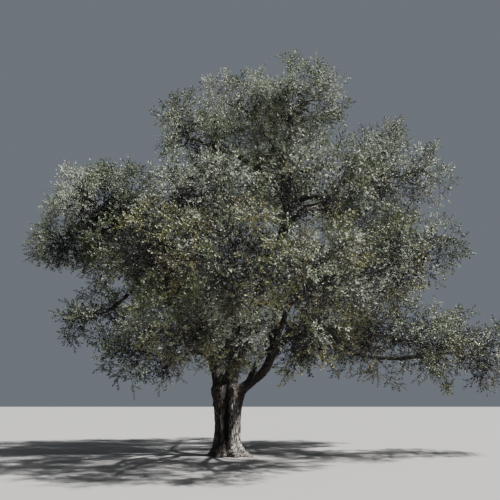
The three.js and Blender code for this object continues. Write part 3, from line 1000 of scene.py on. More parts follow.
@dataclass
class Bark:
    """The skin of trunk and boughs: one fused surface with the bark's relief, divided into pieces."""

    skeleton: Skeleton
    voxel: float = 0.026
    softness: float = 0.5
    softening_rounds: int = 5
    sides: int = 18
    ring_step: float = 0.1
    fewest_steps: int = 6
    waves: tuple[Wave, ...] = (Wave(0.05, 2, 0.9), Wave(0.035, 3, -1.6), Wave(0.04, 0, 2.7), Wave(0.02, 1, 6.1))
    trunk_sides: int = 72
    trunk_rings: int = 28
    block: tuple[float, float, float] = (0.08, 0.08, 0.36)
    crack_width: float = 0.2
    crack_depth: float = 0.022
    swelling: float = 0.16
    trunk_top: float = 4.2
    trunk_girth: float = 0.42
    # how deep in the trunk's seams the painted shade starts, and over what depth it darkens fully
    seam_shade_start: float = 0.05
    seam_shade_depth: float = 0.12
    sample_step: float = 0.08
    trunk_sample_step: float = 0.095
    grain_shift: float = 31.7
    cut: float = 0.02
    samples: dict[str, np.ndarray] = field(default_factory=dict)

    def build(self, finishes: Finishes) -> list[bpy.types.Object]:
        """Makes every piece of bark.

        Args:
            finishes: The tree's materials.

        Returns:
            The pieces.
        """
        self._take_samples()
        mesh = self._fused(self._shells())
        owners = self._add_grain(mesh)
        relief = run_growth(self._relief_tree(), mesh, "bark", {
            "Block": self.block,
            "Crack Width": self.crack_width,
            "Crack Depth": self.crack_depth,
            "Swelling": self.swelling,
            "Bark": finishes.bark,
        })
        self._flatten_foot(relief)
        return self._divided(relief, owners)

    def _shells(self) -> bpy.types.Mesh:
        """Makes the trunk and each limb as closed shells that overlap.

        Returns:
            The shells as one mesh.
        """
        body = bmesh.new()
        self._add_shell(body, [
            [self.skeleton.trunk_point(float(up), s * 360 / self.trunk_sides) for s in range(self.trunk_sides)]
            for up in np.linspace(0.0, Skeleton.TRUNK_HEIGHT, self.trunk_rings)
        ])
        angles = [2 * math.pi * s / self.sides for s in range(self.sides)]
        for grown in self.skeleton.grown.values():
            random = seeded(BARK_SEED + grown.index)
            phases = [random() * 2 * math.pi for _ in self.waves]
            self._add_shell(body, [
                [
                    centre + (side * math.cos(a) + over * math.sin(a)) * grown.radius(share)
                    * self._unevenness(a, share * grown.length, phases)
                    for a in angles
                ]
                for centre, side, over, share in self._frames(grown, self.ring_step)
            ])
        return finished_mesh("shells", body)

    def _unevenness(self, angle: float, along: float, phases: Sequence[float]) -> float:
        """Finds how much the swellings thicken a limb at a point on it.

        Args:
            angle: The angle round the limb.
            along: The distance along it.
            phases: Where round the limb each swelling starts.

        Returns:
            What the limb's radius is multiplied by there.
        """
        return sum((
            wave.height * math.sin(wave.turns * angle + phase + wave.pitch * along)
            for wave, phase in zip(self.waves, phases)
        ), 1)

    def _frames(self, grown: Grown, step: float) -> list[tuple[Vector, Vector, Vector, float]]:
        """Finds points along the middle of a limb.

        Args:
            grown: The limb.
            step: About how far they are apart.

        Returns:
            Each point with two axes square to the limb there and its share of the way.
        """
        steps = max(self.fewest_steps, round(grown.length / step))
        made = []
        side = Vector((0.0, -1.0, 0.0))
        for i in range(steps + 1):
            tangent = grown.route.tangent(i / steps)
            side = (side - tangent * side.dot(tangent)).normalized()
            made.append((grown.route.at(i / steps), side, tangent.cross(side), i / steps))
        return made

    @staticmethod
    def _add_shell(body: bmesh.types.BMesh, rings: Sequence[Sequence[Vector]]) -> None:
        """Adds a closed shell.

        Args:
            body: What it is added to.
            rings: The rings of points that it goes through.
        """
        rows = [[body.verts.new(point) for point in ring] for ring in rings]
        sides = len(rows[0])
        for low, high in zip(rows, rows[1:]):
            for s in range(sides):
                after = (s + 1) % sides
                body.faces.new((low[s], low[after], high[after], high[s]))
        for row, turned in ((rows[0], True), (rows[-1], False)):
            hub = body.verts.new(sum((vert.co for vert in row), Vector()) / sides)
            for s in range(sides):
                pair = (row[s], row[(s + 1) % sides])
                body.faces.new((*(reversed(pair) if turned else pair), hub))

    def _fused(self, shells: bpy.types.Mesh) -> bpy.types.Mesh:
        """Joins overlapping shells into one skin and softens its creases.

        Args:
            shells: The shells, which are removed.

        Returns:
            The skin.
        """
        thing = new_object("fused", shells)
        remesh = thing.modifiers.new("fuse", "REMESH")
        remesh.mode = "VOXEL"
        remesh.voxel_size = self.voxel
        remesh.use_smooth_shade = True
        soften = thing.modifiers.new("soften", "SMOOTH")
        soften.factor = self.softness
        soften.iterations = self.softening_rounds
        return plain_mesh(thing, "fused")

    def _take_samples(self) -> None:
        """Samples the middle of the trunk and of each limb, with axes, radius and distance along it."""
        rows: list[tuple] = []
        for i in range(round(Skeleton.TRUNK_HEIGHT / self.trunk_sample_step)):
            up = i * self.trunk_sample_step
            rows.append((self.skeleton.lean(up), 0, up, self.trunk_girth, 1, 0, 0, 0, 1, 0, up, -1))
        for grown in self.skeleton.grown.values():
            for centre, side, over, share in self._frames(grown, self.sample_step):
                rows.append((*centre, grown.radius(share), *side, *over, share * grown.length, grown.index))
        table = np.array(rows)
        self.samples = {
            "centre": table[:, 0:3], "radius": table[:, 3], "side": table[:, 4:7], "over": table[:, 7:10],
            "along": table[:, 10], "limb": table[:, 11].astype(int),
        }

    def nearest(self, points: np.ndarray) -> tuple[np.ndarray, np.ndarray]:
        """The sample whose bark is nearest to each point.

        Args:
            points: The points, one a row.

        Returns:
            For each point its sample's number, and how far outside that sample's bark it is.
        """
        centres = self.samples["centre"]
        squares = (centres**2).sum(1)
        owners = np.empty(len(points), int)
        clear = np.empty(len(points))
        batch = 20000
        for start in range(0, len(points), batch):
            part = points[start:start + batch]
            apart = (part**2).sum(1)[:, None] + squares - 2 * part @ centres.T
            outside = np.sqrt(np.maximum(apart, 0)) - self.samples["radius"]
            best = outside.argmin(1)
            owners[start:start + batch] = best
            clear[start:start + batch] = outside[np.arange(len(part)), best]
        return owners, clear

    def _add_grain(self, mesh: bpy.types.Mesh) -> np.ndarray:
        """Stores where each point lies along and across its own limb, the limb's thickness and how far it is sunk.

        Args:
            mesh: The fused skin.

        Returns:
            For each point its sample's number.
        """
        points = mesh_points(mesh)
        owners, clear = self.nearest(points)
        offset = points - self.samples["centre"][owners]
        side = self.samples["side"][owners]
        over = self.samples["over"][owners]
        ahead = np.cross(side, over)
        limb = self.samples["limb"][owners]
        grain = np.stack([
            (offset * side).sum(1),
            (offset * over).sum(1),
            self.samples["along"][owners] + (offset * ahead).sum(1) + self.grain_shift * (limb + 1),
        ], axis=1)
        set_attribute(mesh, "grain", "FLOAT_VECTOR", grain)
        # girth also sets the painted shade of the thinner limbs in the bark's finish
        set_attribute(mesh, "girth", "FLOAT", self.samples["radius"][owners])
        # painted shade: how far a point is sunk in the trunk's seams
        sunk = np.clip((-clear - self.seam_shade_start) / self.seam_shade_depth, 0, 1)
        set_attribute(mesh, "hollow", "FLOAT", np.where(limb < 0, sunk, 0))
        return owners

    @staticmethod
    def _relief_tree() -> bpy.types.NodeTree:
        """Makes the tree that sinks cracks between blocks of bark and swells the surface unevenly.

        Returns:
            The tree.
        """
        made, nodes, given = started_growth("bark_relief", {
            "Block": ("NodeSocketVector", (0.08, 0.08, 0.2)),
            "Crack Width": ("NodeSocketFloat", 0.2),
            "Crack Depth": ("NodeSocketFloat", 0.02),
            "Swelling": ("NodeSocketFloat", 0.1),
            "Bark": ("NodeSocketMaterial", None),
        })
        girth = nodes.stored("girth")
        _, _, plate = nodes.cracks(nodes.stored("grain", "FLOAT_VECTOR"), given["Block"], 0.5, given["Crack Width"])
        depth = nodes.maths("MULTIPLY", nodes.maths("SUBTRACT", plate, 0.7), given["Crack Depth"])
        cracks = nodes.maths("MULTIPLY", depth, nodes.ramp(girth, 0.0, 0.3))
        lumps = nodes.noise(nodes.add("GeometryNodeInputPosition").outputs[0], 3.2).outputs["Fac"]
        swell = nodes.maths("MULTIPLY", nodes.maths("SUBTRACT", lumps, 0.5), given["Swelling"])
        amount = nodes.maths("ADD", cracks, nodes.maths("MULTIPLY", swell, girth))
        offset = nodes.scaled(nodes.add("GeometryNodeInputNormal").outputs[0], amount)
        moved = nodes.add("GeometryNodeSetPosition", {"Geometry": given["Geometry"], "Offset": offset})
        real = nodes.add("GeometryNodeRealizeInstances", {0: moved.outputs[0]})
        dressed = nodes.add("GeometryNodeSetMaterial", {"Geometry": real.outputs[0], "Material": given["Bark"]})
        nodes.add("NodeGroupOutput", {0: dressed.outputs[0]})
        return made

    def _flatten_foot(self, mesh: bpy.types.Mesh) -> None:
        """Makes the cut at the ground flat, as the solid's is.

        Args:
            mesh: The skin.
        """
        points = mesh_points(mesh)
        points[points[:, 2] < self.cut, 2] = 0.0
        mesh.vertices.foreach_set("co", points.ravel())
        mesh.update()

    def _part_of(self, index: int, height: float) -> BarkPart:
        """The piece that a limb, or the trunk, belongs to at a height.

        Args:
            index: The limb's place in the table, or -1 for the trunk.
            height: The height.

        Returns:
            The piece.
        """
        if index < 0:
            return BarkPart.TRUNK
        limb = LIMBS[index]
        if limb.parent == "trunk" and height < self.trunk_top:
            return BarkPart.TRUNK
        if limb.region is Region.BACK:
            return BarkPart.BACK
        while limb.parent != "trunk":
            limb = self.skeleton.grown[limb.parent].limb
        return {"left_shoulder": BarkPart.LEFT, "right_tip": BarkPart.RIGHT}.get(limb.name, BarkPart.TOP)

    def _divided(self, mesh: bpy.types.Mesh, owners: np.ndarray) -> list[bpy.types.Object]:
        """Divides the skin into closed pieces, and hides the solids that each stands for.

        Args:
            mesh: The whole skin, which is removed.
            owners: For each of its points its sample's number.

        Returns:
            The pieces.
        """
        limbs = self.samples["limb"][owners]
        low = mesh_points(mesh)[:, 2] < self.trunk_top
        tags = np.empty(len(owners), object)
        nodes: dict[BarkPart, set[str]] = {part: set() for part in BarkPart}
        for index in range(-1, len(LIMBS)):
            name = f"bough_{LIMBS[index].name}" if index >= 0 else "trunk"
            for chosen, height in ((low, 0.0), (~low, math.inf)):
                part = self._part_of(index, height)
                tags[(limbs == index) & chosen] = part
                nodes[part].add(name)
        made = []
        for part in BarkPart:
            body = bmesh.new()
            body.from_mesh(mesh)
            body.verts.ensure_lookup_table()
            away = [face for face in body.faces if tags[face.verts[0].index] is not part]
            bmesh.ops.delete(body, geom=away, context="FACES")
            bmesh.ops.holes_fill(body, edges=[edge for edge in body.edges if edge.is_boundary], sides=0)
            piece_mesh = finished_mesh(f"bark_{part.value}", body)
            piece_mesh.materials.append(mesh.materials[0])
            made.append(dressed_piece(piece_mesh, sorted(nodes[part])))
        bpy.data.meshes.remove(mesh)
        return made


# The foliage


@dataclass
class Lines:
    """Twigs as chains of points, each with the twig's radius there."""

    points: list[Vector] = field(default_factory=list)
    radii: list[float] = field(default_factory=list)
    edges: list[tuple[int, int]] = field(default_factory=list)

    def add(self, chain: Sequence[tuple[Vector, float]]) -> None:
        """Adds one twig.

        Args:
            chain: Its points, each with the radius there.
        """
        first = len(self.points)
        for point, radius in chain:
            self.points.append(point)
            self.radii.append(radius)
        self.edges.extend((i, i + 1) for i in range(first, len(self.points) - 1))

    def add_tapering(self, route: Route, until: float, steps: int, radii: tuple[float, float]) -> None:
        """Adds a twig along a route, up to a share of it, that narrows evenly from one radius to the other."""
        self.add([(route.at(until * i / steps), between(radii, i / steps)) for i in range(steps + 1)])

    def mesh(self) -> bpy.types.Mesh:
        """Makes a mesh of edges, whose points carry the chains' radii.

        Returns:
            The mesh.
        """
        mesh = new_mesh("lines", self.points, self.edges)
        set_attribute(mesh, "girth", "FLOAT", self.radii)
        return mesh


@dataclass(frozen=True)
class Place:
    """Where a sprig grows, which way it points and faces, its size, tint and shape."""

    point: Vector
    aim: Vector
    facing: Vector
    size: float
    tint: int
    shape: int


PLACE_VALUES = {"aim": "FLOAT_VECTOR", "facing": "FLOAT_VECTOR", "size": "FLOAT", "tint": "INT", "shape": "INT"}


@dataclass
class Foliage:
    """What grows in one region: stems that fork, the twigs in the middle of sprays, their side twigs and sprigs."""

    stout: Lines = field(default_factory=Lines)
    slender: Lines = field(default_factory=Lines)
    fine: Lines = field(default_factory=Lines)
    places: list[Place] = field(default_factory=list)

    def sprigs(
        self, tree: bpy.types.NodeTree, name: str, shapes: Sequence, materials: Sequence
    ) -> bpy.types.Mesh:
        """Puts a shape at each place.

        Args:
            tree: The tree that does so.
            name: The name of the result.
            shapes: The object for each shape.
            materials: The material for each tint.

        Returns:
            The result.
        """
        mesh = new_mesh("places", [place.point for place in self.places])
        for key, kind in PLACE_VALUES.items():
            set_attribute(mesh, key, kind, [getattr(place, key) for place in self.places])
        values = {f"Shape {i}": shape for i, shape in enumerate(shapes)}
        values |= {f"Leaf {i}": material for i, material in enumerate(materials)}
        return run_growth(tree, mesh, name, values)


@dataclass(frozen=True)
class Sprig:
    """A short shoot with pairs of leaves, pointing up from its root.

    Shares are of its length, and spreads are in degrees. A pair of numbers is a range that is drawn from.
    """

    length: float = 0.22
    stem: float = 0.0045
    stem_root: float = 0.01
    pairs: int = 4
    bare_share: float = 0.22
    leafy_share: float = 0.72
    turns: tuple[float, float] = (-0.25, 0.25)
    spreads: tuple[float, float] = (39, 65)
    closing: float = 9
    leaf_length: float = 0.08
    leaf_width: float = 0.036
    lengths: tuple[float, float] = (0.82, 1.18)
    widths: tuple[float, float] = (0.85, 1.15)
    rolls: tuple[float, float] = (-1.1, 1.1)
    fold: float = 0.45
    widest: tuple[float, float] = (0.5, 0.56)

    def leaves(self, seed: int, material: bpy.types.Material) -> bpy.types.Object:
        """The leaves of one sprig, as an object that isn't in the scene.

        Args:
            seed: The number that picks the sprig's form.
            material: The material that it has until it is dealt its own.

        Returns:
            The object.
        """
        random = seeded(SPRIG_SEED + seed)
        points: list[Vector] = []
        faces: list[tuple[int, int, int]] = []
        turn = random() * math.pi
        for pair in range(self.pairs):
            up = self.length * (self.bare_share + self.leafy_share * pair / (self.pairs - 1))
            turn += math.pi / 2 + between(self.turns, random())
            for half in (0, math.pi):
                spread = math.radians(between(self.spreads, random()) - self.closing * pair / self.pairs)
                around = Vector((math.cos(turn + half), math.sin(turn + half), 0))
                aim = UP * math.cos(spread) + around * math.sin(spread)
                self._add_leaf(points, faces, UP * up, aim, random)
        self._add_leaf(points, faces, UP * self.length, Vector((0.15, 0.1, 1)).normalized(), random)
        mesh = new_mesh(f"sprig_{seed}", points, faces=faces)
        mesh.materials.append(material)
        return bpy.data.objects.new(f"sprig_{seed}", mesh)

    def _add_leaf(
        self, points: list[Vector], faces: list[tuple[int, int, int]], root: Vector, aim: Vector, random: Random
    ) -> None:
        """Adds one leaf of two faces, folded along its midrib and widest near its middle.

        Args:
            points: Takes its points.
            faces: Takes its faces.
            root: Where it starts.
            aim: Which way it points.
            random: The source of numbers.
        """
        length = self.leaf_length * between(self.lengths, random())
        half = self.leaf_width / 2 * between(self.widths, random())
        side = square_to(aim)
        side.rotate(Quaternion(aim, between(self.rolls, random())))
        over = side.cross(aim)
        first = len(points)
        points.append(root)
        near, far = self.widest
        for along, across, lift in ((near, 1.0, self.fold), (1.0, 0.0, 0.0), (far, -1.0, self.fold)):
            points.append(root + aim * length * along + side * half * across + over * half * lift)
        faces.extend((first, first + corner, first + corner + 1) for corner in (1, 2))

    def stalk(self, material: bpy.types.Material) -> bpy.types.Object:
        """The sprig's own shoot, a thin spike of three sides, as an object that isn't in the scene.

        Args:
            material: Its material.

        Returns:
            The object.
        """
        angles = [2 * math.pi * i / 3 for i in range(3)]
        ring = [Vector((self.stem * math.cos(a), self.stem * math.sin(a), -self.stem_root)) for a in angles]
        mesh = new_mesh("stalk", [*ring, UP * self.length], faces=[(0, 1, 3), (1, 2, 3), (2, 0, 3), (2, 1, 0)])
        mesh.materials.append(material)
        return bpy.data.objects.new("stalk", mesh)


@dataclass(frozen=True)
class Forking:
    """How side growth leaves a twig, in degrees: wide at its root, narrow at its tip and nearly straight at its end.

    lift turns all of it up, or down where it is below 0.
    """

    wide: float
    narrow: float
    straight: float
    lift: float

    def aim(self, along: Vector, around: Vector, share: float, last: bool) -> Vector:
        """Which way one of the side growths goes.

        Args:
            along: The way that the twig goes.
            around: The side of the twig that the growth is on, as a direction square to the twig.
            share: How far along the twig it leaves.
            last: Whether it is the one at the end.

        Returns:
            The direction, about a unit long.
        """
        angle = math.radians(self.straight if last else between((self.wide, self.narrow), share))
        return along * math.cos(angle) + around * math.sin(angle) + UP * self.lift


@dataclass
class Crown:
    """Every mass of foliage: twigs by the source's rule, carried on to finer twigs and sprigs of leaves.

    Lengths are in metres and shares are of the twig or way in question. A pair of numbers is a range that is drawn
    from, or what holds at a twig's root and at its tip.
    """

    skeleton: Skeleton
    bark: Bark
    sprig: Sprig = Sprig()
    shapes: int = 5
    tube_sides: tuple[int, int, int] = (7, 5, 3)

    # The stems that fork, by the source's rule
    sprays_per_metre: float = 6
    spray_shares: tuple[float, ...] = (1, 0.86, 1, 0.68)
    tip_share: float = 0.97
    twig_share: float = 0.38
    side_twig: float = 0.7
    side_thickness: float = 0.6
    twig_radius: float = 0.02
    twig_growth: float = 0.4
    first_fork: float = 0.3
    longest: float = 2.3
    shortest: float = 0.45
    tip_room: float = 0.12
    least_share: float = 0.3
    roll: float = 50
    squash: float = 0.8
    space_gap: float = 0.012
    middle: Vector = field(default_factory=lambda: Vector((0.9, 0, 7.2)))

    # Their form, and the shoots on them
    overlap: float = 0.06
    overlap_thickness: float = 0.85
    run_on: float = 0.04
    narrowing: float = 0.9
    steps_per_fork: int = 3
    stem_jolt: float = 0.06
    shoots_per_metre: float = 3.6
    shoot_counts: tuple[float, float] = (0.5, 1.5)
    shoot_lengths: tuple[float, float] = (0.35, 0.7)
    shoot_lean: float = 0.5

    # The twig in the middle of a spray
    spray_radii: tuple[float, float] = (0.019, 0.006)
    spray_steps: int = 6
    spray_end: float = 0.94
    spray_bends: tuple[float, float] = (0.33, 0.68)
    spray_bow: float = 0.06
    bowed_inwards: float = 0.3
    spray_jolt: float = 0.06
    same_tint: float = 0.7

    # The branchlets on a spray
    branchlets_per_metre: float = 4.0
    branchlet_span: tuple[float, float] = (0.16, 0.88)
    branchlet_turns: tuple[float, float] = (-0.3, 0.3)
    branchlet_forking: Forking = Forking(70, 40, 8, -0.06)
    branchlet_flatness: float = 0.85
    branchlet_jolt: float = 0.24
    branchlet_length: float = 0.42
    length_per_metre: float = 0.3
    counted_metres: float = 2
    branchlet_shares: tuple[float, float] = (1.1, 0.65)
    branchlet_lengths: tuple[float, float] = (0.8, 1.2)
    branchlet_radii: tuple[float, float] = (0.0115, 0.005)
    branchlet_steps: int = 3
    branchlet_crook: float = 0.3
    branchlet_lift: float = 0.25
    shortening: float = 0.8
    shortest_branchlet: float = 0.2

    # The leafy twigs on a branchlet
    twigs_per_metre: float = 5.4
    leaf_twig_span: tuple[float, float] = (0.12, 0.98)
    leaf_twig_forking: Forking = Forking(58, 44, 15, 0.05)
    leaf_twig_lengths: tuple[float, float] = (0.2, 0.4)
    leaf_twig_radii: tuple[float, float, float] = (0.0085, 0.0065, 0.003)
    leaf_twig_room: float = 0.7
    leaf_twig_crook: float = 0.35
    leaf_twig_lift: float = 0.12
    leaf_twig_sway: float = 0.2

    # The sprigs on a leafy twig
    sprig_step: float = 0.062
    sprig_start: float = 0.75
    sprig_forking: Forking = Forking(48, 48, 12, 0.12)
    sprig_sizes: tuple[float, float] = (0.8, 1.25)
    facing_lift: float = 0.8
    # painted shade: leaves deeper in the crown than this turn near-black, sooner on masses' undersides and later high
    # up
    painted_shade_depth: float = 0.65
    painted_shade_shares: tuple[float, float] = (0.6, 1.4)
    open_above: float = 6.6
    under_shade: float = 0.35

    # Where growth has room
    margin: float = 0.12
    limb_gap: float = 0.02
    lowest: float = 1.5
    limb_room: float = 1.5
    limb_room_step: float = 0.5

    # The sprays on limbs
    limb_spray_step: float = 0.7
    sprays_per_step: float = 1.5
    limb_spray_lengths: tuple[float, float] = (0.8, 1.6)
    limb_spray_lean: float = 0.5
    limb_spray_lift: float = 0.25
    limb_spray_root: float = 0.6
    balls: list[tuple[Vector, float]] = field(init=False)

    def __post_init__(self) -> None:
        """Works out how far twigs may go in each mass and round each leafy limb."""
        self.balls = [(self._lifted(limb.middle()), (limb.reach - self.margin) ** 2) for limb in LIMBS]
        for grown in self.skeleton.grown.values():
            leafy = grown.limb.leafy
            if leafy < 1:
                steps = math.ceil(grown.length * (1 - leafy) / self.limb_room_step)
                for i in range(steps + 1):
                    place = grown.route.at(leafy + (1 - leafy) * i / steps)
                    self.balls.append((self._lifted(place), self.limb_room**2))

    def build(self, finishes: Finishes) -> list[bpy.types.Object]:
        """Makes every piece of twigs and leaves.

        Args:
            finishes: The tree's materials.

        Returns:
            The pieces.
        """
        tubes = self._tube_tree()
        placing = self._sprig_tree()
        shapes = [self.sprig.leaves(i, finishes.leaves[0]) for i in range(self.shapes)]
        stalk = self.sprig.stalk(finishes.twig)
        made = []
        for region in Region:
            limbs = [grown for grown in self.skeleton.grown.values() if grown.limb.region is region]
            foliage = self._grown_in(limbs)
            meshes = [
                run_growth(tubes, lines.mesh(), "tubes", {"Sides": sides, "Twig": finishes.twig})
                for lines, sides in zip((foliage.stout, foliage.slender, foliage.fine), self.tube_sides)
            ]
            meshes.append(foliage.sprigs(placing, "stalks", [stalk] * self.shapes, [finishes.twig] * len(Tint)))
            twigs = joined(f"twigs_{region.value}", meshes)
            leaves = foliage.sprigs(placing, f"leaves_{region.value}", shapes, finishes.leaves)
            nodes = [f"foliage_{grown.limb.name}" for grown in limbs]
            for mesh, slot in ((twigs, "bark"), (leaves, "leaves")):
                for name in ("girth", *PLACE_VALUES):
                    if name in mesh.attributes:
                        mesh.attributes.remove(mesh.attributes[name])
                made.append(dressed_piece(mesh, nodes))
        for shape in (*shapes, stalk):
            bpy.data.objects.remove(shape)
        return made

    def _grown_in(self, limbs: Sequence[Grown]) -> Foliage:
        """Grows the foliage of some limbs, without the sprigs that would stand in the bark.

        Args:
            limbs: The limbs.

        Returns:
            The foliage.
        """
        foliage = Foliage()
        for grown in limbs:
            self._grow(grown, foliage)
            self._clothe_limb(grown, foliage)
        _, clear = self.bark.nearest(np.array([place.point for place in foliage.places]))
        foliage.places = [place for place, gap in zip(foliage.places, clear) if gap > self.limb_gap]
        return foliage

    @staticmethod
    def _tube_tree() -> bpy.types.NodeTree:
        """Makes the tree that gives each chain of points its thickness.

        Returns:
            The tree.
        """
        made, nodes, given = started_growth("twig_tubes", {
            "Sides": ("NodeSocketInt", 5),
            "Twig": ("NodeSocketMaterial", None),
        })
        curve = nodes.add("GeometryNodeMeshToCurve", {"Mesh": given["Geometry"]}).outputs[0]
        ring = nodes.add("GeometryNodeCurvePrimitiveCircle", {"Resolution": given["Sides"], "Radius": 1.0})
        tube = nodes.add("GeometryNodeCurveToMesh", {
            "Curve": curve, "Profile Curve": ring.outputs[0], "Scale": nodes.stored("girth"), "Fill Caps": True,
        }).outputs[0]
        smooth = nodes.add("GeometryNodeSetShadeSmooth", {"Geometry": tube}).outputs[0]
        real = nodes.add("GeometryNodeRealizeInstances", {0: smooth}).outputs[0]
        dressed = nodes.add("GeometryNodeSetMaterial", {"Geometry": real, "Material": given["Twig"]})
        nodes.add("NodeGroupOutput", {0: dressed.outputs[0]})
        return made

    def _sprig_tree(self) -> bpy.types.NodeTree:
        """Makes the tree that puts a sprig at each place, turned and sized as the place says, in its tint.

        Returns:
            The tree.
        """
        inputs: dict[str, tuple[str, object]] = {f"Shape {i}": ("NodeSocketObject", None) for i in range(self.shapes)}
        inputs |= {f"Leaf {i}": ("NodeSocketMaterial", None) for i in range(len(Tint))}
        made, nodes, given = started_growth("sprigs_on_twigs", inputs)
        shapes = nodes.add("GeometryNodeJoinGeometry")
        for i in reversed(range(self.shapes)):
            info = nodes.add("GeometryNodeObjectInfo", {"Object": given[f"Shape {i}"], "As Instance": True})
            nodes.tree.links.new(info.outputs["Geometry"], shapes.inputs[0])
        aimed = nodes.add("FunctionNodeAlignRotationToVector", {
            "Vector": nodes.stored("aim", "FLOAT_VECTOR"),
        }, axis="Z").outputs[0]
        turned = nodes.add("FunctionNodeAlignRotationToVector", {
            "Rotation": aimed, "Vector": nodes.stored("facing", "FLOAT_VECTOR"),
        }, axis="X", pivot_axis="Z").outputs[0]
        placed = nodes.add("GeometryNodeInstanceOnPoints", {
            "Points": given["Geometry"], "Instance": shapes.outputs[0], "Pick Instance": True,
            "Instance Index": nodes.stored("shape", "INT"), "Rotation": turned, "Scale": nodes.stored("size"),
        }).outputs[0]
        geometry = nodes.add("GeometryNodeRealizeInstances", {0: placed}).outputs[0]
        for tint in Tint:
            same = nodes.add("FunctionNodeCompare", {
                2: nodes.stored("tint", "INT"), 3: tint.value,
            }, data_type="INT", operation="EQUAL").outputs[0]
            geometry = nodes.add("GeometryNodeSetMaterial", {
                "Geometry": geometry, "Selection": same, "Material": given[f"Leaf {tint.value}"],
            }).outputs[0]
        nodes.add("NodeGroupOutput", {0: geometry})
        return made

    def _lifted(self, point: Vector) -> Vector:
        """A point in the frame where masses are balls."""
        return Vector((point.x, point.y, point.z / self.squash))

    def _has_room(self, point: Vector) -> bool:
        """Whether a twig may end at a point.

        Args:
            point: The point.

        Returns:
            True within the reach of some mass of foliage or leafy limb, and well off the ground.
        """
        if point.z < self.lowest:
            return False
        lifted = self._lifted(point)
        return any((lifted - middle).length_squared < limit for middle, limit in self.balls)

    def _depth(self, point: Vector) -> float:
        """How deep in the crown a point lies, from the edge of a mass, and deeper on the mass's underside, for
        painting leaves dark as shade.
        """
        lifted = self._lifted(point) + UP * self.under_shade
        return max(limit**0.5 - (lifted - middle).length for middle, limit in self.balls[:len(LIMBS)])

    def _reach_along(self, limb: Limb, direction: Vector) -> float:
        """How far a mass's own space goes, in the frame where masses are balls.

        Args:
            limb: The limb with its mass.
            direction: The direction from the mass's middle.

        Returns:
            The distance.
        """
        reach = limb.reach
        centre = self._lifted(limb.middle())
        for other in LIMBS:
            if other is limb:
                continue
            way = self._lifted(other.middle()) - centre
            apart = way.length
            distance = (apart**2 + limb.reach**2 - other.reach**2) / (2 * apart) - self.space_gap
            towards = direction.dot(way / apart)
            if towards > 0:
                reach = min(reach, distance / towards)
        return reach

    def _spray_tips(self, limb: Limb, random: Random) -> list[Vector]:
        """Where the tips of a mass's sprays lie, evenly about it from its outermost point.

        Args:
            limb: The limb with its mass.
            random: The mass's own source of numbers.

        Returns:
            The tips.
        """
        count = round(self.sprays_per_metre * limb.reach)
        outwards = (limb.middle() - self.middle).normalized()
        across = square_to(outwards)
        over = outwards.cross(across)
        spin = random() * 2 * math.pi
        tips = []
        for i in range(count):
            height = 1 - 2 * i / (count - 0.5)
            angle = spin + i * GOLDEN_ANGLE
            flat = math.sqrt(1 - height**2)
            direction = outwards * height + across * flat * math.cos(angle) + over * flat * math.sin(angle)
            share = self.spray_shares[i % len(self.spray_shares)] * self.tip_share
            offset = direction * (self._reach_along(limb, direction) * share)
            offset.z *= self.squash
            tips.append(offset + limb.middle())
        return tips

    @staticmethod
    def _halves(points: Sequence[Vector]) -> tuple[list[Vector], list[Vector]]:
        """Splits points in two across the axis on which they spread the furthest.

        Args:
            points: The points.

        Returns:
            The two halves, of which the first may have one more.
        """
        sizes = [max(p[a] for p in points) - min(p[a] for p in points) for a in range(3)]
        axis = sizes.index(max(sizes))
        ordered = sorted(points, key=lambda point: point[axis])
        half = math.ceil(len(ordered) / 2)
        return ordered[:half], ordered[half:]

    def _grow(self, grown: Grown, foliage: Foliage) -> None:
        """Grows the foliage at a limb's tip.

        Args:
            grown: The limb.
            foliage: Takes what grows.
        """
        limb = grown.limb
        random = seeded(TWIG_SEED + grown.index)
        detail = seeded(DETAIL_SEED + grown.index)
        centre = limb.middle()

        def radius_for(count: int) -> float:
            """The radius of a stem that bears a number of sprays."""
            return self.twig_radius * count**self.twig_growth

        def mean(points: Sequence[Vector]) -> Vector:
            """The middle of some points."""
            return sum(points, Vector()) / len(points)

        def finish(path: list[tuple[Vector, float]], tip: Vector) -> None:
            """Ends a stem in a spray.

            Args:
                path: The stem's points, each with the radius there.
                tip: What the spray reaches towards.
            """
            root = path[-1][0]
            way = tip - root
            roll = math.radians(between((-self.roll, self.roll), random()))
            stem = self._smoothed([*path, (root + way * self.run_on, path[-1][1] * self.narrowing)], detail)
            foliage.stout.add(stem)
            self._shoots(stem, centre, detail, foliage)
            if way.length > self.shortest:
                goes = min(way.length - self.tip_room, self.longest)
                reached = root + way * max(goes / way.length, self.least_share)
                self._clothe(limb, root, reached, centre, roll, detail, foliage)

        def fork(path: list[tuple[Vector, float]], tips: list[Vector]) -> None:
            """Divides a stem in two: the half of its tips that lies nearer to its own way carries it on.

            Args:
                path: The stem's points, each with the radius there.
                tips: Its tips.
            """
            if len(tips) == 1:
                finish(path, tips[0])
                return
            before, end = path[-2][0], path[-1][0]
            ahead = (end - before).normalized()
            pair = sorted(self._halves(tips), key=lambda half: -(mean(half) - end).normalized().dot(ahead))
            extend(list(path), end, pair[0])
            root = before.lerp(end, self.side_twig)
            thickness = min(radius_for(len(pair[1])), path[-1][1] * self.side_thickness)
            extend([(root, thickness)], root, pair[1])

        def extend(path: list[tuple[Vector, float]], start: Vector, tips: list[Vector]) -> None:
            """Carries a stem on towards the middle of its tips.

            Args:
                path: The stem so far, as points with their radii.
                start: Where it is carried on from.
                tips: The tips that it feeds.
            """
            if len(tips) == 1:
                finish(path, tips[0])
                return
            fork([*path, (start.lerp(mean(tips), self.twig_share), radius_for(len(tips)))], tips)

        tips = self._spray_tips(limb, random)
        end = grown.route.at(1.0)
        tangent = grown.route.tangent(1.0)
        inside = (end - tangent * self.overlap, Skeleton.LIMB_TIP * self.overlap_thickness)
        crown = end + tangent * limb.reach * (Skeleton.ENTRY - self.first_fork)
        fork([inside, (crown, radius_for(len(tips)))], tips)

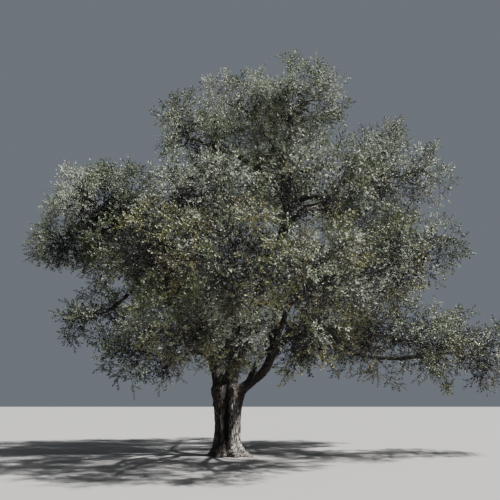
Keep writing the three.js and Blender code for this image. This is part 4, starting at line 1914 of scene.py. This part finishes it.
    def _clothe_limb(self, grown: Grown, foliage: Foliage) -> None:
        """Grows sprays round the leafy part of a limb, before it reaches its foliage.

        Args:
            grown: The limb.
            foliage: Takes what grows.
        """
        leafy = grown.limb.leafy
        random = seeded(LIMB_SPRAY_SEED + grown.index)
        count = round(self.sprays_per_step * grown.length * (1 - leafy) / self.limb_spray_step)
        turn = random() * 2 * math.pi
        for i in range(count):
            share = leafy + (1 - leafy) * (i + random()) / count
            turn += GOLDEN_ANGLE
            along = grown.route.tangent(share)
            across = square_to(along)
            around = across * math.cos(turn) + across.cross(along) * math.sin(turn)
            aim = (around + along * self.limb_spray_lean + UP * self.limb_spray_lift).normalized()
            start = grown.route.at(share) + around * grown.radius(share) * self.limb_spray_root
            tip = start + aim * between(self.limb_spray_lengths, random())
            self._clothe(grown.limb, start, tip, start - UP, 0.0, random, foliage)

    def _smoothed(self, path: Sequence[tuple[Vector, float]], random: Random) -> list[tuple[Vector, float]]:
        """Puts more points into a stem, on a smooth and slightly crooked line through the first ones.

        Args:
            path: The stem's points, each with the radius there.
            random: The source of numbers.

        Returns:
            The new points and radii.
        """
        route = Route(tuple(point for point, _ in path))
        last = len(path) - 1
        steps = self.steps_per_fork * last
        made = []
        for i in range(steps + 1):
            place = i / self.steps_per_fork
            index = min(int(place), last - 1)
            radius = between((path[index][1], path[index + 1][1]), place - index)
            point = route.at(i / steps)
            if 0 < i < steps:
                point = point + scatter(random) * self.stem_jolt
            made.append((point, radius))
        return made

    def _shoots(
        self, stem: Sequence[tuple[Vector, float]], centre: Vector, random: Random, foliage: Foliage
    ) -> None:
        """Grows leafy shoots from the sides of a stem within the foliage.

        Args:
            stem: The stem's points, each with the radius there.
            centre: The middle of the foliage.
            random: The source of numbers.
            foliage: Takes what grows.
        """
        for (low, _), (high, _) in zip(stem, stem[1:]):
            way = high - low
            usual = way.length * self.shoots_per_metre
            for _ in range(int(usual * between(self.shoot_counts, random()) + random())):
                start = low + way * random()
                around = scatter(random).normalized()
                outwards = (start - centre).normalized()
                aim = (around + outwards * self.shoot_lean + way.normalized() * self.shoot_lean).normalized()
                reach = between(self.shoot_lengths, random())
                self._leaf_twig(start, aim, reach, deal_tint(random, start), random, foliage)

    def _clothe(
        self, limb: Limb, root: Vector, tip: Vector, centre: Vector, roll: float, random: Random, foliage: Foliage
    ) -> None:
        """Carries one spray on to side twigs and sprigs of leaves.

        Args:
            limb: The limb whose foliage it belongs to.
            root: Where the spray starts.
            tip: Where it ends.
            centre: The middle of the foliage.
            roll: How far the spray is rolled about its length.
            random: The source of numbers for what the source file leaves out.
            foliage: Takes what grows.
        """
        way = tip - root
        length = way.length
        along = way.normalized()
        outwards = tip - centre
        face = (outwards - along * outwards.dot(along)).normalized()
        face.rotate(Quaternion(along, roll))
        side = face.cross(along)
        tint = deal_tint(random, root)
        bow = face * length * self.spray_bow * (random() - self.bowed_inwards)
        jolt = self.spray_jolt * length
        middle = Route((root, *(root + way * share + bow + scatter(random) * jolt for share in self.spray_bends), tip))
        foliage.slender.add_tapering(middle, self.spray_end, self.spray_steps, self.spray_radii)
        count = max(3, round(self.branchlets_per_metre * length))
        usual = self.branchlet_length + self.length_per_metre * min(length, self.counted_metres)
        turn = random() * math.pi
        for i in range(count + 1):
            last = i == count
            share = self.spray_end if last else between(self.branchlet_span, i / (count - 1))
            turn += LEAF_TURN + between(self.branchlet_turns, random())
            around = side * math.cos(turn) + face * math.sin(turn) * self.branchlet_flatness
            aim = self.branchlet_forking.aim(along, around, share, last)
            aim = (aim + scatter(random) * self.branchlet_jolt).normalized()
            reach = usual * between(self.branchlet_shares, share) * between(self.branchlet_lengths, random())
            tone = tint if random() < self.same_tint else deal_tint(random, middle.at(share))
            self._branchlet(middle.at(share), aim, reach, limb.fullness, tone, random, foliage)

    def _branchlet(
        self, start: Vector, aim: Vector, reach: float, fullness: float, tint: int, random: Random, foliage: Foliage
    ) -> None:
        """Grows one branchlet of a spray, with leafy twigs along it.

        Args:
            start: Where it leaves the spray's own twig.
            aim: Which way it goes.
            reach: Its length, where it has room for that.
            fullness: How many leafy twigs it has, as a share of the usual number.
            tint: The tint of its leaves.
            random: The source of numbers.
            foliage: Takes what grows.
        """
        while not self._has_room(start + aim * reach):
            reach *= self.shortening
            if reach < self.shortest_branchlet:
                return
        across = square_to(aim)
        over = across.cross(aim)
        bend = across * (random() - 0.5) + over * (random() - 0.5) + UP * self.branchlet_lift
        elbow = start + aim * reach * 0.5 + bend * self.branchlet_crook * reach
        line = Route((start, elbow, start + aim * reach))
        foliage.fine.add_tapering(line, 1.0, self.branchlet_steps, self.branchlet_radii)
        count = max(2, round(self.twigs_per_metre * reach * fullness))
        turn = random() * math.pi
        for i in range(count + 1):
            share = between(self.leaf_twig_span, i / count)
            turn += LEAF_TURN
            around = across * math.cos(turn) + over * math.sin(turn)
            heading = self.leaf_twig_forking.aim(line.tangent(share), around, share, i == count)
            length = between(self.leaf_twig_lengths, random())
            self._leaf_twig(line.at(share), heading.normalized(), length, tint, random, foliage)

    def _leaf_twig(
        self, start: Vector, aim: Vector, reach: float, tint: int, random: Random, foliage: Foliage
    ) -> None:
        """Grows one side twig with its sprigs.

        Args:
            start: Where it leaves its twig.
            aim: Which way it goes.
            reach: Its length.
            tint: The tint of its leaves, where they aren't painted dark as shade deep in the crown.
            random: The source of numbers.
            foliage: Takes what grows.
        """
        if not self._has_room(start + aim * reach * self.leaf_twig_room):
            return
        across = square_to(aim)
        bend = (UP * self.leaf_twig_lift - across * self.leaf_twig_sway * (random() - 0.5)) * reach
        elbow = start + aim * reach * 0.5 + bend * self.leaf_twig_crook
        end = start + aim * reach
        foliage.fine.add(list(zip((start, elbow, end), self.leaf_twig_radii)))
        count = max(2, round(reach / self.sprig_step))
        turn = random() * 2 * math.pi
        for i in range(count):
            share = (i + self.sprig_start) / count
            point = start.lerp(elbow, share * 2) if share < 0.5 else elbow.lerp(end, min(1.0, share * 2 - 1))
            turn += LEAF_TURN
            around = across.copy()
            around.rotate(Quaternion(aim, turn))
            heading = self.sprig_forking.aim(aim, around, share, i == count - 1)
            facing = (scatter(random) + UP * self.facing_lift).normalized()
            # painted shade: leaves deep in the crown get the near-black tint
            shaded = self.painted_shade_depth * max(1.0, point.z / self.open_above) * between(self.painted_shade_shares, random())
            tone = Tint.INNER.value if self._depth(point) > shaded else tint
            size = between(self.sprig_sizes, random())
            shape = int(random() * self.shapes) % self.shapes
            foliage.places.append(Place(point, heading.normalized(), facing, size, tone, shape))


# The studio


@dataclass(frozen=True)
class Lamp:
    """A far light: its strength, how broad it is, and the bearing and height in degrees that it comes from."""

    name: str
    power: float
    breadth: float
    bearing: float
    rise: float

    def build(self) -> None:
        """Puts the light in the scene."""
        light = bpy.data.lights.new(self.name, "SUN")
        light.energy = self.power
        light.angle = math.radians(self.breadth)
        holder = new_object(self.name, light)
        turn, lift = math.radians(self.bearing), math.radians(self.rise)
        towards = Vector((math.cos(turn) * math.cos(lift), math.sin(turn) * math.cos(lift), math.sin(lift)))
        holder.rotation_euler = towards.to_track_quat("Z", "Y").to_euler()


@dataclass
class Studio:
    """The floor, the light and the camera."""

    floor_size: float = 400.0
    floor_drop: float = 0.002
    floor_tone: int = 0x868482
    sky_tone: int = 0xDCE6F4
    sky_light: float = 0.22
    lamps: tuple[Lamp, ...] = (Lamp("key", 14.0, 2, -14, 60), Lamp("fill", 0.1, 60, -160, 30))
    camera_place: tuple[float, float, float] = (0.73, -17.0, 1.6)
    camera_rise: float = 17.0

    def build(self) -> None:
        """Makes everything that isn't part of the tree."""
        self._floor()
        self._light()
        self._camera()

    def _floor(self) -> None:
        """Lays a plain grey floor just under the tree."""
        half = self.floor_size / 2
        corners = [(x, y, -self.floor_drop) for x, y in ((-half, -half), (half, -half), (half, half), (-half, half))]
        mesh = new_mesh("floor", corners, faces=[(0, 1, 2, 3)])
        material, nodes, place = started_material("floor")
        rough = nodes.ramp(nodes.noise(place, 0.4).outputs["Fac"], 0.0, 1.0, 0.85, 0.95)
        nodes.finish({"Base Color": linear(self.floor_tone), "Roughness": rough})
        mesh.materials.append(material)
        new_object("floor", mesh)

    def _light(self) -> None:
        """Lights the tree softly from all round, with a strong key from the right and above."""
        world = bpy.data.worlds.new("studio")
        bpy.context.scene.world = world
        world.use_nodes = True
        background = world.node_tree.nodes["Background"]
        background.inputs["Color"].default_value = linear(self.sky_tone)
        background.inputs["Strength"].default_value = self.sky_light
        for lamp in self.lamps:
            lamp.build()

    def _camera(self) -> None:
        """Puts the camera where the photograph was taken from."""
        lens = bpy.data.cameras.new("camera")
        lens.lens = 36.0
        lens.sensor_width = 36.0
        lens.clip_end = 1000.0
        camera = new_object("camera", lens)
        camera.location = self.camera_place
        camera.rotation_euler = (math.radians(90 + self.camera_rise), 0, 0)
        bpy.context.scene.camera = camera


def main() -> None:
    """Builds the tree and the studio and reports each piece."""
    logging.basicConfig(level=logging.INFO, format="%(name)s: %(message)s")
    Studio().build()
    finishes = Finishes()
    skeleton = Skeleton()
    bark = Bark(skeleton)
    pieces = bark.build(finishes)
    pieces += Crown(skeleton, bark).build(finishes)
    for piece in pieces:
        triangles = sum(len(polygon.vertices) - 2 for polygon in piece.data.polygons)
        LOG.info("%s: %d triangles", piece.name, triangles)


if __name__ == "__main__":
    main()
